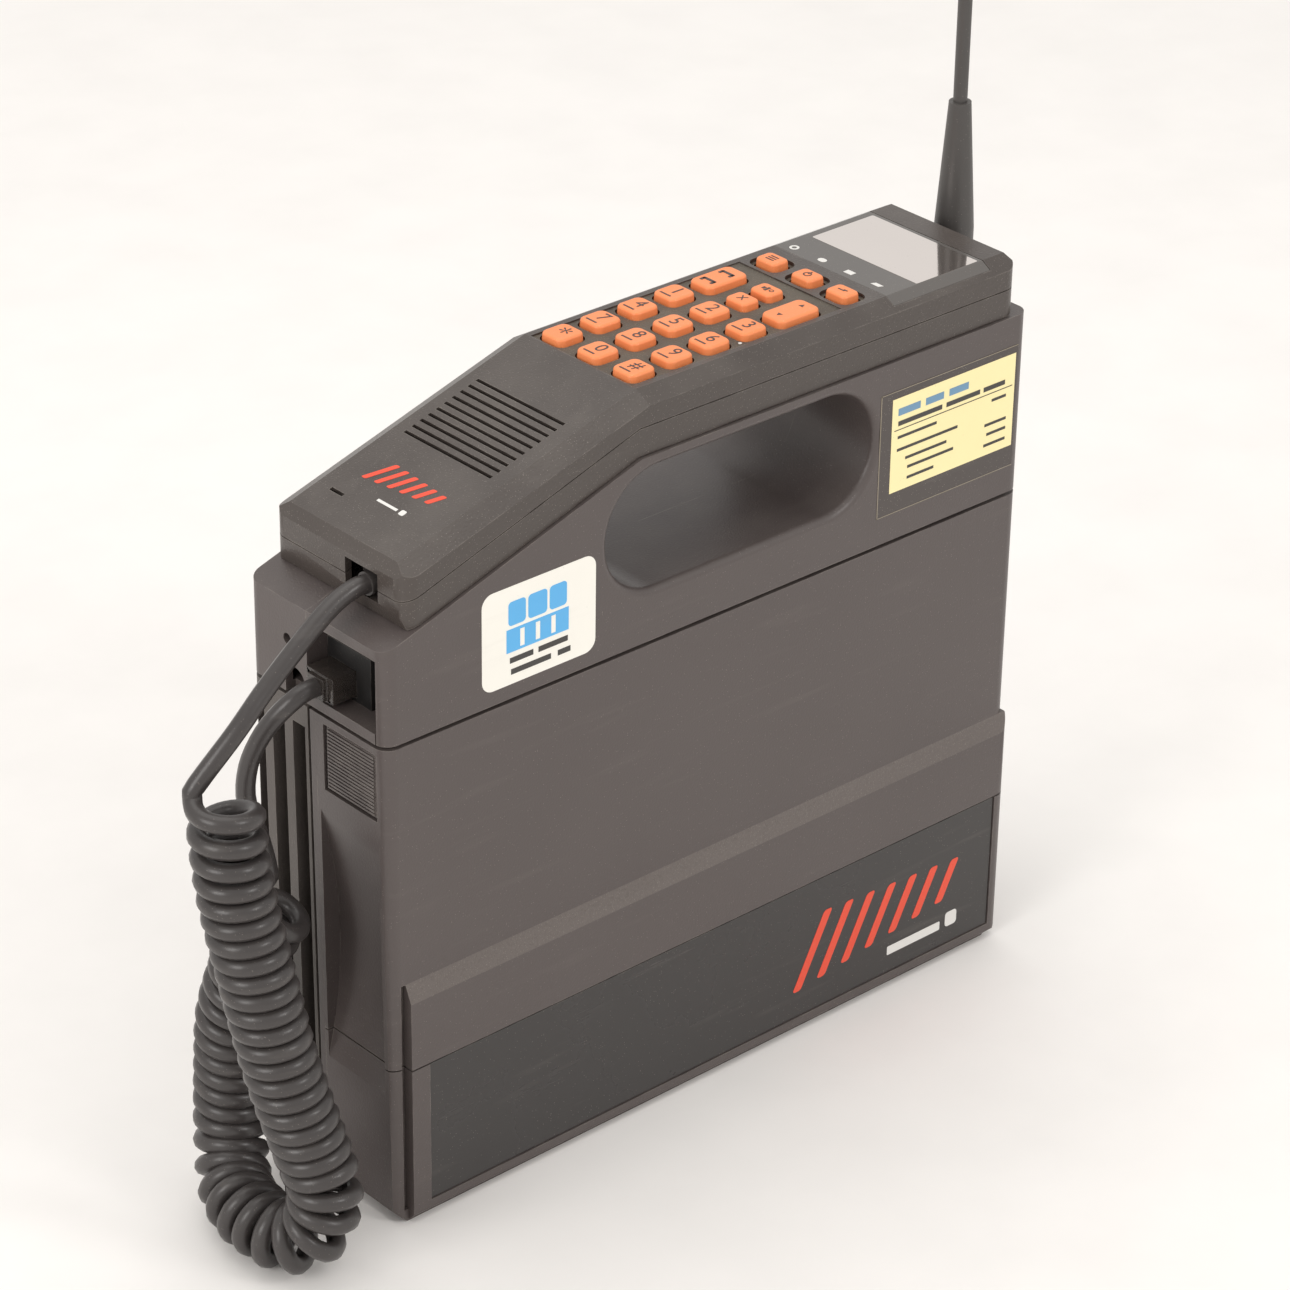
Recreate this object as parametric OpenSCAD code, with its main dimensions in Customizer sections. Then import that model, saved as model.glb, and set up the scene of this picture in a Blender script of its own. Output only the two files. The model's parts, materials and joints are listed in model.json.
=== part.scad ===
// Transportable cellular telephone: a keypad handset lying on a flat carrying body.
// +X runs from the cord end to the antenna end, the label side faces -Y and +Z is up.
// The origin is on the underside, at the middle of the body's length and thickness.

/* [Carrying body] */
// Length of the carrying body
body_length = 245; // [200:1:300]
// Thickness of the carrying body, front to back
body_depth = 60; // [56:1:80]
// Radius of the upright corners
corner_r = 4.5; // [2:0.5:8]
// Wall of the plastic housings
wall = 2.5; // [1.8:0.1:3.2]
// Height of the battery and radio modules
module_height = 157; // [140:1:190]
// Open joint line between the modules and the carrying top
joint_line = 1.2; // [0.6:0.1:2]
// Height of the carrying top, up to the level deck that the handset lies on
top_height = 58.3; // [57:0.1:80]
// Length of the sloping part, from the near end
ramp_length = 91.5; // [80:0.5:100]
// Fall of the sloping part, in millimetres per millimetre
slope = 0.32; // [0.25:0.01:0.36]
// Place across the thickness where front and rear housings meet
split_y = 3.7; // [0:0.1:8]

/* [Carrying handle] */
// Middle of the hand opening along the length
grip_x = 8.5; // [4:0.5:14]
// Middle of the hand opening below the level deck
grip_drop = 23; // [22:0.5:24]
// Distance between the centres of its round ends
grip_span = 65; // [50:1:80]
// Radius of its round ends
grip_r = 19; // [15:0.5:20]
// Rounding of its rim
grip_rim = 2.5; // [1:0.5:4]
// Rounding of its rim on the rear face
grip_rear_rim = 0.5; // [0.5:0.5:4]

/* [Battery pack] */
// Height of the raised lower band
band_height = 80.5; // [65:0.5:100]
// How far the raised band stands out
band_out = 2.5; // [1:0.1:4]
// Height of the bevelled ledge on top of the band
ledge_height = 5.5; // [3:0.5:9]
// Height of the removable lower cover
cover_height = 52.4; // [40:0.2:60]
// Thickness of the pack's back plate
pack_back = 2.5; // [1.5:0.1:3]
// Diameter of one cell
cell_dia = 25.8; // [20:0.1:26]
// Length of one cell
cell_length = 49; // [40:1:50]
// Cells in each of the two rows
cells_per_row = 5; // [3:1:7]
// Width of the release button
button_width = 21.6; // [16:0.2:24]
// Height of the release button
button_height = 19.4; // [14:0.2:21]
// Travel of the release button
button_travel = 3; // [1.5:0.1:3.5]

/* [Radio module] */
// Distance from one cooling fin to the next
fin_pitch = 9.3; // [7:0.1:12]
// Width of the gap between two fins
fin_gap = 5.6; // [3:0.1:6]
// Depth of the gaps on the rear face
fin_depth = 6; // [3:0.5:8]
// Depth of the gaps on the two ends
end_fin_depth = 9; // [5:0.5:11]

/* [Handset] */
// How far the near end of the handset, where the cord leaves, stands back from the body's end
handset_setback = 8.5; // [7:0.5:12]
// The same at the far end
handset_far_setback = 4.5; // [2:0.5:8]
// Width of the handset
handset_width = 58; // [56:1:62]
// Height of the handset above its underside
handset_thick = 17.9; // [15:0.1:20]
// Slope of its top face towards the cord, rise over run
top_slope = 0.30; // [0.26:0.01:0.34]
// Width of the bevel along its long top edges
bevel_w = 5.5; // [3:0.5:6]
// Height of the same bevel
bevel_h = 3.2; // [1.5:0.1:3.5]
// Wall of the handset shells
shell = 2.2; // [1.6:0.1:2.5]

/* [Keys] */
// Key spacing along the handset
key_pitch_x = 14.06; // [12.5:0.02:14.5]
// Key spacing across the handset
key_pitch_y = 15.12; // [13:0.02:15.2]
// Length of a digit key's cap along the handset
key_l = 10.2; // [8:0.1:11]
// Width of a digit key's cap across the handset
key_w = 9.8; // [8:0.1:11]
// How far the caps stand above the keypad panel
key_rise = 2.2; // [1.5:0.1:4]
// Travel of a key
key_travel = 1.2; // [0.6:0.1:1.4]

/* [Antenna] */
// Length of the antenna above its elbow
antenna_length = 165; // [80:1:200]
// Diameter of the whip
whip_dia = 4.3; // [3:0.1:6]
// Diameter of the rubber boot at its base
boot_dia = 12.1; // [10:0.1:14]
// Diameter of the rubber boot at its top
boot_top_dia = 6.8; // [5:0.1:9]

/* [Cord] */
// Diameter of the cord
cord_dia = 5.6; // [5:0.1:6]
// Outer diameter of the curled part
coil_dia = 22; // [20:0.5:24]

/* [Fits] */
// Clearance round pieces that slide or press
slide_fit = 0.4; // [0.3:0.05:0.6]
// Clearance round pieces that are only assembled
seat_fit = 0.2; // [0.1:0.05:0.3]
// Clear distance between the handset and the deck
deck_gap = 0.3; // [0.3:0.1:1]

/* [Hidden] */
$fn = 48;
near_x = -body_length / 2;
far_x = body_length / 2;
front_y = -body_depth / 2;
rear_y = body_depth / 2;
top_bottom_z = module_height + joint_line;
deck_height = top_bottom_z + top_height;
bend_x = near_x + ramp_length;  // where deck and handset start to slope down
near_deck_z = deck_height - slope * (bend_x - near_x);
slope_angle = atan(slope);
past = 1;                       // how far a cut runs past the face it opens
draft = 1.2;                    // how much each end of the modules draws in towards the underside
foot_chamfer = 4;               // bevel under the two ends
module_gap = 0.5;               // half of the slit between battery pack and radio module
pack_rear_y = split_y - module_gap;
radio_front_y = split_y + module_gap;
band_y = front_y - band_out;

housing_color = [0.42, 0.39, 0.37];
handset_color = [0.44, 0.41, 0.38];
dark_color = [0.12, 0.12, 0.12];
key_color = [0.95, 0.53, 0.28];
panel_color = [0.34, 0.33, 0.31];
metal_color = [0.72, 0.72, 0.74];
board_color = [0.10, 0.36, 0.20];
brass_color = [0.80, 0.65, 0.30];

grip_z = deck_height - grip_drop;
handset_near = near_x + handset_setback;
handset_far = far_x - handset_far_setback;

// ---- helpers ----------------------------------------------------------

// A flat drawing in X and Z, pulled from y0 to y1
module along_y(y0, y1) {
    translate([0, y1, 0]) rotate([90, 0, 0]) linear_extrude(y1 - y0) children();
}

// A flat drawing in Y and Z, pulled from x0 to x1
module along_x(x0, x1) {
    translate([x0, 0, 0]) rotate([90, 0, 90]) linear_extrude(x1 - x0) children();
}

// A flat drawing in X and Y, pulled from z0 to z1
module along_z(z0, z1) {
    translate([0, 0, z0]) linear_extrude(z1 - z0) children();
}

// A box given by its lowest and highest corners
module box(lo, hi) {
    translate(lo) cube(hi - lo);
}

// A rectangle with round corners, centred
module round_rect(l, w, r) {
    square([l - 2 * r, w], center = true);
    square([l, w - 2 * r], center = true);
    for (sx = [-1, 1], sy = [-1, 1])
        translate([sx * (l / 2 - r), sy * (w / 2 - r)]) circle(r);
}

// A rod along X, and one along Y
module rod_x(x0, x1, y, z, r) {
    translate([x0, y, z]) rotate([0, 90, 0]) cylinder(h = x1 - x0, r = r);
}

module rod_y(x, y0, y1, z, r) {
    translate([x, y0, z]) rotate([-90, 0, 0]) cylinder(h = y1 - y0, r = r);
}

// The body's footprint, drawn in by "inset"
module footprint(inset = 0) {
    round_rect(body_length - 2 * inset, body_depth - 2 * inset, corner_r - min(inset, corner_r - 1));
}

// ---- tubes swept along a route ----------------------------------------

function unit(v) = v / norm(v);
function flat_to(v, t) = unit(v - (v * t) * t);

// Direction of the route at point i
function heading(p, i) =
    i == 0 ? unit(p[1] - p[0])
    : i == len(p) - 1 ? unit(p[i] - p[i - 1])
    : unit(unit(p[i + 1] - p[i]) + unit(p[i] - p[i - 1]));

// Side direction at every point, carried along without twisting
function side_dirs(p, first) =
    [for (i = 0, n = flat_to(first, heading(p, 0)); i < len(p);
          i = i + 1, n = i < len(p) ? flat_to(n, heading(p, i)) : n) n];

function ring(c, t, n, r, sides) =
    [for (k = [0 : sides - 1])
        let (a = 360 * k / sides) c + r * (cos(a) * n + sin(a) * cross(t, n))];

// A round tube of "sides" sides through the points p
module swept_tube(p, r, sides, first = [0, 1, 0]) {
    dirs = side_dirs(p, first);
    last = len(p) - 1;
    points = [for (i = [0 : last]) each ring(p[i], heading(p, i), dirs[i], r, sides)];
    faces = concat(
        [[for (k = [0 : sides - 1]) k]],
        [for (i = [0 : last - 1], k = [0 : sides - 1])
            let (a = i * sides + k, b = i * sides + (k + 1) % sides)
            [a, a + sides, b + sides, b]],
        [[for (k = [0 : sides - 1]) last * sides + sides - 1 - k]]);
    polyhedron(points = points, faces = faces, convexity = 6);
}

// ---- upper housing: the carrying top ----------------------------------

// Side view of the carrying top
module top_outline(inset = 0) {
    polygon([[near_x + inset, top_bottom_z + inset],
             [far_x - inset, top_bottom_z + inset],
             [far_x - inset, deck_height - inset],
             [bend_x, deck_height - inset],
             [near_x + inset, near_deck_z - inset + slope * inset]]);
}

// The opening for the hand, seen from the front
module grip_outline(extra = 0) {
    translate([grip_x, grip_z]) {
        square([grip_span, 2 * (grip_r + extra)], center = true);
        for (s = [-1, 1]) translate([s * grip_span / 2, 0]) circle(grip_r + extra, $fn = 96);
    }
}

// Cross-section of what rounding the rim takes away
module rim_section(r) {
    difference() {
        square(r);
        translate([r, r]) circle(r);
    }
}

// Rounds the rim on the face at y = 0, cutting towards +Y
module rim_cut(r) {
    for (s = [-1, 1]) {
        translate([grip_x + s * grip_span / 2, 0, grip_z])
            rotate([-90, 0, 0]) rotate_extrude($fn = 96) translate([grip_r, 0]) rim_section(r);
        translate([0, 0, grip_z + s * grip_r])
            along_x(grip_x - grip_span / 2, grip_x + grip_span / 2)
                mirror([0, s < 0 ? 1 : 0]) rotate(90) mirror([0, 1]) rim_section(r);
    }
}

screw_near_x = near_x + 32.5;   // screws that hold the two upper halves together
screw_far_x = far_x - 24.5;
screw_low_z = top_bottom_z + 9.8;
screw_high_z = deck_height - 11.5;
screw_near_high_z = near_deck_z - 1.2;
boss_r = 3.6;
screw_r = 1.5;
screw_head_r = 2.8;
screw_head_depth = 2;
housing_screw_places = [[screw_near_x, screw_near_high_z], [screw_near_x, screw_low_z],
                        [screw_far_x, screw_low_z], [screw_far_x, screw_high_z]];

// Pocket for the cord's plug in the near end
pocket_front_y = -25.7;
pocket_low_z = top_bottom_z + 3.3;
pocket_high_z = near_deck_z - 3.2;
pocket_depth = 11.5;
pocket_wall = 2;

// Solid half of the carrying top between y0 and y1
module top_half(y0, y1) {
    intersection() {
        along_y(y0, y1) top_outline();
        along_z(0, deck_height + past) footprint();
    }
}

module upper_front_housing() {
    color(housing_color) difference() {
        union() {
            difference() {
                top_half(front_y, split_y);
                intersection() {
                    along_y(front_y + wall, split_y + past) top_outline(wall);
                    along_z(0, deck_height) footprint(wall);
                }
            }
            intersection() {
                along_y(front_y, split_y) grip_outline(wall);
                top_half(front_y, split_y);
            }
            box([near_x + wall, pocket_front_y - pocket_wall, pocket_low_z - pocket_wall],
                [near_x + pocket_depth + pocket_wall, split_y, pocket_high_z + pocket_wall]);
            for (p = housing_screw_places)
                rod_y(p[0], front_y + wall / 2, split_y, p[1], boss_r);
        }
        along_y(front_y - past, split_y + past) grip_outline();
        translate([0, front_y, 0]) rim_cut(grip_rim);
        box([near_x - past, pocket_front_y, pocket_low_z],
            [near_x + pocket_depth, split_y + past, pocket_high_z]);
        // upright line between the pocket's lip and the front corner
        box([near_x - past, pocket_front_y - 0.5, top_bottom_z - past],
            [near_x + 1.5, pocket_front_y, pocket_high_z]);
        // way through for the jack behind the pocket
        box([near_x + pocket_depth - past, jack_y0 - seat_fit, jack_z0 - seat_fit],
            [near_x + pocket_depth + pocket_wall + past, split_y + past, jack_z1 + seat_fit]);
        for (p = housing_screw_places) rod_y(p[0], split_y - 12, split_y + past, p[1], screw_r);
    }
}

// Openings in the near end of the rear half
strap_hole_y = 12.4;
strap_hole_z = top_bottom_z + 16.8;
strap_hole_r = 1.7;
notch_y = 9.2;
notch_z = top_bottom_z + 4.8;
notch_r = 4.4;

module upper_rear_housing() {
    color(housing_color) difference() {
        union() {
            difference() {
                top_half(split_y, rear_y);
                intersection() {
                    along_y(split_y - past, rear_y - wall) top_outline(wall);
                    along_z(0, deck_height) footprint(wall);
                }
            }
            intersection() {
                along_y(split_y, rear_y) grip_outline(wall);
                top_half(split_y, rear_y);
            }
            // wall that closes the plug pocket of the front half
            box([near_x, split_y, pocket_low_z - pocket_wall],
                [near_x + pocket_depth + pocket_wall, split_y + pocket_wall, pocket_high_z + pocket_wall]);
            for (p = housing_screw_places)
                rod_y(p[0], split_y, rear_y - wall / 2, p[1], boss_r);
        }
        along_y(split_y - past, rear_y + past) grip_outline();
        translate([0, rear_y, 0]) mirror([0, 1, 0]) rim_cut(grip_rear_rim);
        for (p = housing_screw_places) {
            rod_y(p[0], split_y - past, rear_y + past, p[1], screw_r + seat_fit);
            rod_y(p[0], rear_y - screw_head_depth, rear_y + past, p[1], screw_head_r + seat_fit);
        }
        rod_x(near_x - past, near_x + wall + past, strap_hole_y, strap_hole_z, strap_hole_r);
        rod_x(near_x - past, near_x + wall + past, notch_y, notch_z, notch_r);
        box([near_x - past, notch_y - notch_r, top_bottom_z - past],
            [near_x + wall + past, notch_y + notch_r, notch_z]);
        rod_x(far_x - wall - past, far_x + past, antenna_y, antenna_z, stem_r + seat_fit);
        translate([feed_x, antenna_y, top_bottom_z - past]) cylinder(h = wall + 2 * past, r = feed_hole_r);
    }
}

board_thick = 1.6;

// Upright board behind the plug pocket that carries the jack
module interface_board() {
    color(board_color) box([jack_far_x, jack_y0 - 9, jack_z0],
                           [jack_far_x + board_thick, jack_y1, pocket_high_z - 1]);
}

// Modular jack: a black box with a mouth that fits the plug
plug_y = -3;                    // middle of the plug across the thickness
plug_w = 11.7;
plug_h = 8;
plug_low_z = pocket_low_z + 1.7;
plug_near_x = near_x - 1;
plug_length = 21;
latch_w = 3.2;                  // springy latch under the plug
latch_t = 1.2;
latch_start = 2;
latch_end = 14;
plug_collar = 1.5;              // grip on the cord at the plug's near end
jack_y0 = -15.5;
jack_y1 = split_y - seat_fit;
jack_z0 = pocket_low_z + 0.1;
jack_z1 = pocket_low_z + 16;
jack_near_x = near_x + 7;
jack_far_x = plug_near_x + plug_length + 2.5;

module jack_socket() {
    color(dark_color) difference() {
        box([jack_near_x, jack_y0, jack_z0], [jack_far_x, jack_y1, jack_z1]);
        box([jack_near_x - past, plug_y - plug_w / 2 - seat_fit, plug_low_z - seat_fit],
            [plug_near_x + plug_length + seat_fit, plug_y + plug_w / 2 + seat_fit,
             plug_low_z + plug_h + seat_fit]);
        box([jack_near_x - past, plug_y - latch_w / 2 - slide_fit, jack_z0 - past],
            [plug_near_x + latch_end + slide_fit, plug_y + latch_w / 2 + slide_fit, plug_low_z]);
    }
}

module housing_screws() {
    color(metal_color) for (p = housing_screw_places) {
        rod_y(p[0], split_y - 10, rear_y - screw_head_depth, p[1], screw_r);
        difference() {
            rod_y(p[0], rear_y - screw_head_depth, rear_y - 0.4, p[1], screw_head_r);
            box([p[0] - 2.2, rear_y - 1.2, p[1] - 0.4], [p[0] + 2.2, rear_y + past, p[1] + 0.4]);
            box([p[0] - 0.4, rear_y - 1.2, p[1] - 2.2], [p[0] + 0.4, rear_y + past, p[1] + 2.2]);
        }
    }
}

// ---- antenna ------------------------------------------------------------

antenna_x = far_x + 8.5;        // axis of the upright whip
antenna_y = 11;
antenna_z = deck_height - 19.5; // axis of the connector in the far end
stem_r = 4;
collar_r = 6.8;
collar_t = 2;
nut_r = 6.2;
elbow_r = 5.4;
elbow_bore_r = 2.4;
swivel_pin = 2.5;               // pin of the connector that the elbow turns on
boot_straight = 24;             // length of the boot's cylindrical foot
boot_taper = 40;                // length of its tapering neck
boot_low_z = antenna_z + elbow_r + 1.5;
whip_r = whip_dia / 2;
feed_x = far_x - 14;
feed_r = 1.6;
feed_hole_r = 2.4;
feed_low_z = module_height - 12;

// Threaded socket through the far wall, with its flange outside and nut inside
module antenna_connector() {
    color(metal_color) difference() {
        union() {
            rod_x(far_x - 8, far_x + collar_t, antenna_y, antenna_z, stem_r);
            rod_x(far_x, far_x + collar_t, antenna_y, antenna_z, collar_r);
            translate([far_x - wall - 3, antenna_y, antenna_z]) rotate([0, 90, 0])
                cylinder(h = 3, r = nut_r, $fn = 6);
            rod_x(far_x + collar_t, far_x + collar_t + swivel_pin, antenna_y, antenna_z,
                  elbow_bore_r - 0.3);
        }
        rod_x(far_x - 9, far_x - 4, antenna_y, antenna_z, feed_r);
    }
}

// Stiff coaxial lead from the connector down into the radio module
module antenna_feed() {
    color([0.75, 0.60, 0.42]) {
        rod_x(feed_x, far_x - 4, antenna_y, antenna_z, feed_r);
        translate([feed_x, antenna_y, antenna_z]) sphere(feed_r);
        translate([feed_x, antenna_y, feed_low_z]) cylinder(h = antenna_z - feed_low_z, r = feed_r);
    }
}

// Right-angle swivel that the whip stands in
module antenna_elbow() {
    color(dark_color) difference() {
        union() {
            rod_x(far_x + collar_t + seat_fit, antenna_x, antenna_y, antenna_z, elbow_r);
            translate([antenna_x, antenna_y, antenna_z]) sphere(elbow_r);
            translate([antenna_x, antenna_y, antenna_z]) cylinder(h = boot_low_z - antenna_z, r = elbow_r);
        }
        rod_x(far_x + collar_t, far_x + collar_t + swivel_pin + slide_fit, antenna_y, antenna_z,
              elbow_bore_r);
    }
}

module antenna_boot() {
    color([0.24, 0.23, 0.22]) translate([antenna_x, antenna_y, boot_low_z]) difference() {
        union() {
            cylinder(h = boot_straight, r = boot_dia / 2);
            translate([0, 0, boot_straight])
                cylinder(h = boot_taper, r1 = boot_dia / 2, r2 = boot_top_dia / 2);
        }
        translate([0, 0, -past]) cylinder(h = boot_straight + boot_taper + 2 * past, r = whip_r);
    }
}

module antenna_whip() {
    color([0.22, 0.21, 0.20]) translate([antenna_x, antenna_y, boot_low_z]) {
        cylinder(h = antenna_length - whip_r, r = whip_r);
        translate([0, 0, antenna_length - whip_r]) sphere(whip_r);
    }
}

// ---- radio module: the rear half of the lower body -----------------------

// Side view of both modules; the ends draw in towards the underside
module module_outline(inset = 0, top = module_height) {
    polygon([[near_x + draft + foot_chamfer + inset, inset],
             [far_x - draft - foot_chamfer - inset, inset],
             [far_x - draft - inset, foot_chamfer + inset],
             [far_x - inset - draft * (1 - top / module_height), top - inset],
             [near_x + inset + draft * (1 - top / module_height), top - inset],
             [near_x + draft + inset, foot_chamfer + inset]]);
}

module module_half(y0, y1) {
    intersection() {
        along_y(y0, y1) module_outline();
        along_z(-past, module_height + past) footprint();
    }
}

case_wall = 3;                  // cast wall of the radio case behind its fins
cavity_x = body_length / 2 - end_fin_depth - case_wall;
cavity_low_z = 6;
cavity_high_z = module_height - 4;
cavity_rear_y = rear_y - fin_depth - case_wall;
fin_low_z = 8;
fin_high_z = module_height - 7;
end_gap_y = [radio_front_y + 1.3, radio_front_y + 1.3 + fin_pitch, radio_front_y + 1.3 + 2 * fin_pitch];
rear_fin_reach = cavity_x - 2;
rear_gaps = 2 * floor(rear_fin_reach / fin_pitch) + 1;
tongue_inset = 4;               // the locating tongue under the carrying top

module heatsink_case() {
    color([0.40, 0.38, 0.36]) difference() {
        union() {
            module_half(radio_front_y, rear_y);
            box([near_x + tongue_inset + corner_r, radio_front_y + 2, module_height - past],
                [far_x - tongue_inset - corner_r, rear_y - tongue_inset, top_bottom_z]);
        }
        box([-cavity_x, radio_front_y - past, cavity_low_z], [cavity_x, cavity_rear_y, cavity_high_z]);
        // gaps between the fins at the two ends
        for (s = [-1, 1], y = end_gap_y)
            box([s < 0 ? near_x - past : far_x - end_fin_depth, y, fin_low_z],
                [s < 0 ? near_x + end_fin_depth : far_x + past, min(y + fin_gap, rear_y - 1.8),
                 y > rear_y - fin_gap - 2 ? fin_high_z + 4 : fin_high_z]);
        // gaps between the fins on the rear face
        for (i = [0 : rear_gaps - 1])
            let (x = (i - (rear_gaps - 1) / 2) * fin_pitch)
            box([x - fin_gap / 2, rear_y - fin_depth, fin_low_z],
                [x + fin_gap / 2, rear_y + past, fin_high_z]);
        translate([feed_x, antenna_y, cavity_high_z - past]) cylinder(h = 8, r = feed_hole_r);
    }
    // posts that carry the board and the lid
    color([0.40, 0.38, 0.36]) for (p = lid_screw_places) difference() {
        rod_y(p[0], lid_y + lid_t, cavity_rear_y, p[1], lid_post_r);
        rod_y(p[0], lid_y, lid_y + lid_t + 5, p[1], lid_screw_r);
    }
}

lid_y = radio_front_y + 0.6;    // front face of the lid
lid_t = 1.5;
lid_screw_r = 1.1;
lid_screw_head_r = 2;
lid_post_r = 3.2;
lid_screw_places = [for (s = [-1, 1], z = [14, module_height / 2, module_height - 16])
                        [s * (cavity_x - 7), z]];

// Pressed metal lid inside the mouth of the case, with posts at its screws
module shield_lid() {
    color(metal_color) difference() {
        box([-cavity_x + seat_fit, lid_y, cavity_low_z + seat_fit],
            [cavity_x - seat_fit, lid_y + lid_t, cavity_high_z - seat_fit]);
        for (p = lid_screw_places)
            rod_y(p[0], lid_y - past, lid_y + lid_t + past, p[1], lid_screw_r + seat_fit);
        box([contact_x - contact_w / 2 - seat_fit, lid_y - past, contact_z - contact_h / 2 - seat_fit],
            [contact_x + contact_w / 2 + seat_fit, lid_y + lid_t + past,
             contact_z + contact_h / 2 + seat_fit]);
    }
}

module lid_screws() {
    color(metal_color) for (p = lid_screw_places) {
        rod_y(p[0], lid_y - 0.5, lid_y, p[1], lid_screw_head_r);
        rod_y(p[0], lid_y, lid_y + lid_t + 4.5, p[1], lid_screw_r);
    }
}

board_y = radio_front_y + 8;

module radio_board() {
    color(board_color) difference() {
        box([-cavity_x + 1, board_y, cavity_low_z + 1],
            [cavity_x - 5, board_y + board_thick, cavity_high_z - 1]);
        for (p = lid_screw_places)
            rod_y(p[0], board_y - past, board_y + board_thick + past, p[1], lid_post_r + seat_fit);
    }
}

filter_l = 82;
filter_w = 34;
filter_z = cavity_high_z - 53;

// Tuned cavity filter that lets one antenna send and receive at once
module duplex_filter() {
    y0 = board_y + board_thick;
    color([0.78, 0.74, 0.60]) {
        box([cavity_x - 8 - filter_l, y0, filter_z],
            [cavity_x - 8, cavity_rear_y - seat_fit, filter_z + filter_w]);
        for (i = [0 : 5])
            translate([cavity_x - 16 - i * 13, (y0 + cavity_rear_y) / 2, filter_z + filter_w])
                cylinder(h = 3, r = 2);
    }
}

contact_x = 60;
contact_z = module_height - 29;
contact_w = 30;
contact_h = 9;
contact_count = 4;
contact_pitch = 7;
contact_pin_r = 1.2;

// Block of sprung pins that meets the battery pack's terminals
module power_contacts() {
    color(dark_color)
        box([contact_x - contact_w / 2, radio_front_y, contact_z - contact_h / 2],
            [contact_x + contact_w / 2, board_y, contact_z + contact_h / 2]);
    color(brass_color) for (i = [0 : contact_count - 1])
        rod_y(contact_x + (i - (contact_count - 1) / 2) * contact_pitch,
              pack_rear_y + slide_fit, radio_front_y, contact_z, contact_pin_r);
}

// ---- battery pack: the front half of the lower body ----------------------

pack_front_wall = wall;
pack_cavity_near_x = near_x + 11;
pack_cavity_far_x = far_x - draft - wall;
pack_cavity_high_z = module_height - wall;
pillar_w = 4.2;                 // plain corner beside the raised band
band_groove_w = 1.6;
band_chamfer = 3;               // bevel along the band's lower edge
scoop_r = 160;                  // shallow hollow under the release button
scoop_depth = 6;
scoop_z = module_height - 73;
scoop_y0 = front_y + 3.6;
button_y = -14.3;
button_z = module_height - 12.8;
button_t = 3.2;
button_frame = 0.8;             // open line round the button
latch_room_x = near_x + 30;
cover_line = 0.5;               // open line between pack and lower cover

// The raised band in front of the pack, from z0 to z1
module band(z0, z1) {
    intersection() {
        along_x(near_x + pillar_w + band_groove_w, far_x) polygon(
            [[front_y + wall, 0], [band_y + band_chamfer, 0], [band_y, band_chamfer],
             [band_y, band_height - ledge_height], [front_y, band_height],
             [front_y + wall, band_height]]);
        along_y(band_y - past, front_y + wall) module_outline();
        along_z(-past, module_height) translate([0, -band_out])
            round_rect(body_length, body_depth, corner_r);
        box([near_x - past, band_y - past, z0], [far_x + past, rear_y, z1]);
    }
}

// Everything of the pack's front between z0 and z1, before it is hollowed
module pack_block(z0, z1) {
    intersection() {
        module_half(front_y, pack_rear_y - pack_back);
        box([near_x - past, band_y - past, z0], [far_x + past, rear_y, z1]);
    }
    band(z0, min(z1, band_height));
}

module pack_cavity() {
    box([pack_cavity_near_x, front_y + pack_front_wall, wall],
        [pack_cavity_far_x, pack_rear_y, pack_cavity_high_z]);
}

// Shallow hollow for the fingers in the pack's near end
module finger_scoop() {
    rod_y(near_x + scoop_depth - scoop_r, scoop_y0, pack_rear_y - pack_back - 1.2,
          scoop_z, scoop_r, $fn = 180);
}

// Upright line beside the raised band
module band_groove() {
    box([near_x + pillar_w, front_y - past, foot_chamfer],
        [near_x + pillar_w + band_groove_w, front_y + 1.4, band_height]);
}

module button_hole() {
    box([near_x - past, button_y - button_width / 2 - button_frame,
         button_z - button_height / 2 - button_frame],
        [near_x + button_t + button_travel + spring_room, button_y + button_width / 2 + button_frame,
         button_z + button_height / 2 + button_frame]);
}

module battery_front_shell() {
    color(housing_color) difference() {
        pack_block(cover_height + cover_line, module_height);
        difference() {
            pack_cavity();
            box([near_x, front_y, button_z - 14], [latch_room_x, rear_y, module_height]);
        }
        finger_scoop();
        band_groove();
        button_hole();
    }
}

panel_near_x = -110.2;
panel_far_x = 117;
panel_low_z = 5.6;
panel_recess = 1.2;
panel_t = 0.8;

module battery_lower_cover() {
    color(housing_color) difference() {
        pack_block(0, cover_height);
        difference() {
            pack_cavity();
            box([near_x, front_y, 0], [pack_cavity_near_x, rear_y, module_height]);
        }
        finger_scoop();
        band_groove();
        box([panel_near_x, band_y - past, panel_low_z],
            [panel_far_x, band_y + panel_recess, cover_height + past]);
    }
}

// Smooth dark panel let into the lower cover
module label_panel() {
    color(panel_color)
        box([panel_near_x + seat_fit, band_y + panel_recess - panel_t, panel_low_z + seat_fit],
            [panel_far_x - seat_fit, band_y + panel_recess, cover_height - seat_fit / 2]);
}

module battery_back_plate() {
    color(housing_color) difference() {
        module_half(pack_rear_y - pack_back, pack_rear_y);
        box([contact_x - contact_w / 2, pack_rear_y - 1, contact_z - contact_h / 2],
            [contact_x + contact_w / 2, pack_rear_y + past, contact_z + contact_h / 2]);
        for (i = [0 : contact_count - 1])
            rod_y(contact_x + (i - (contact_count - 1) / 2) * contact_pitch,
                  pack_rear_y - pack_back - past, pack_rear_y + past, contact_z, contact_pin_r + 1);
    }
}

cell_pitch = cell_dia + 0.8;
cell_row_z = [wall + 1, wall + 2 + cell_length];

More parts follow.
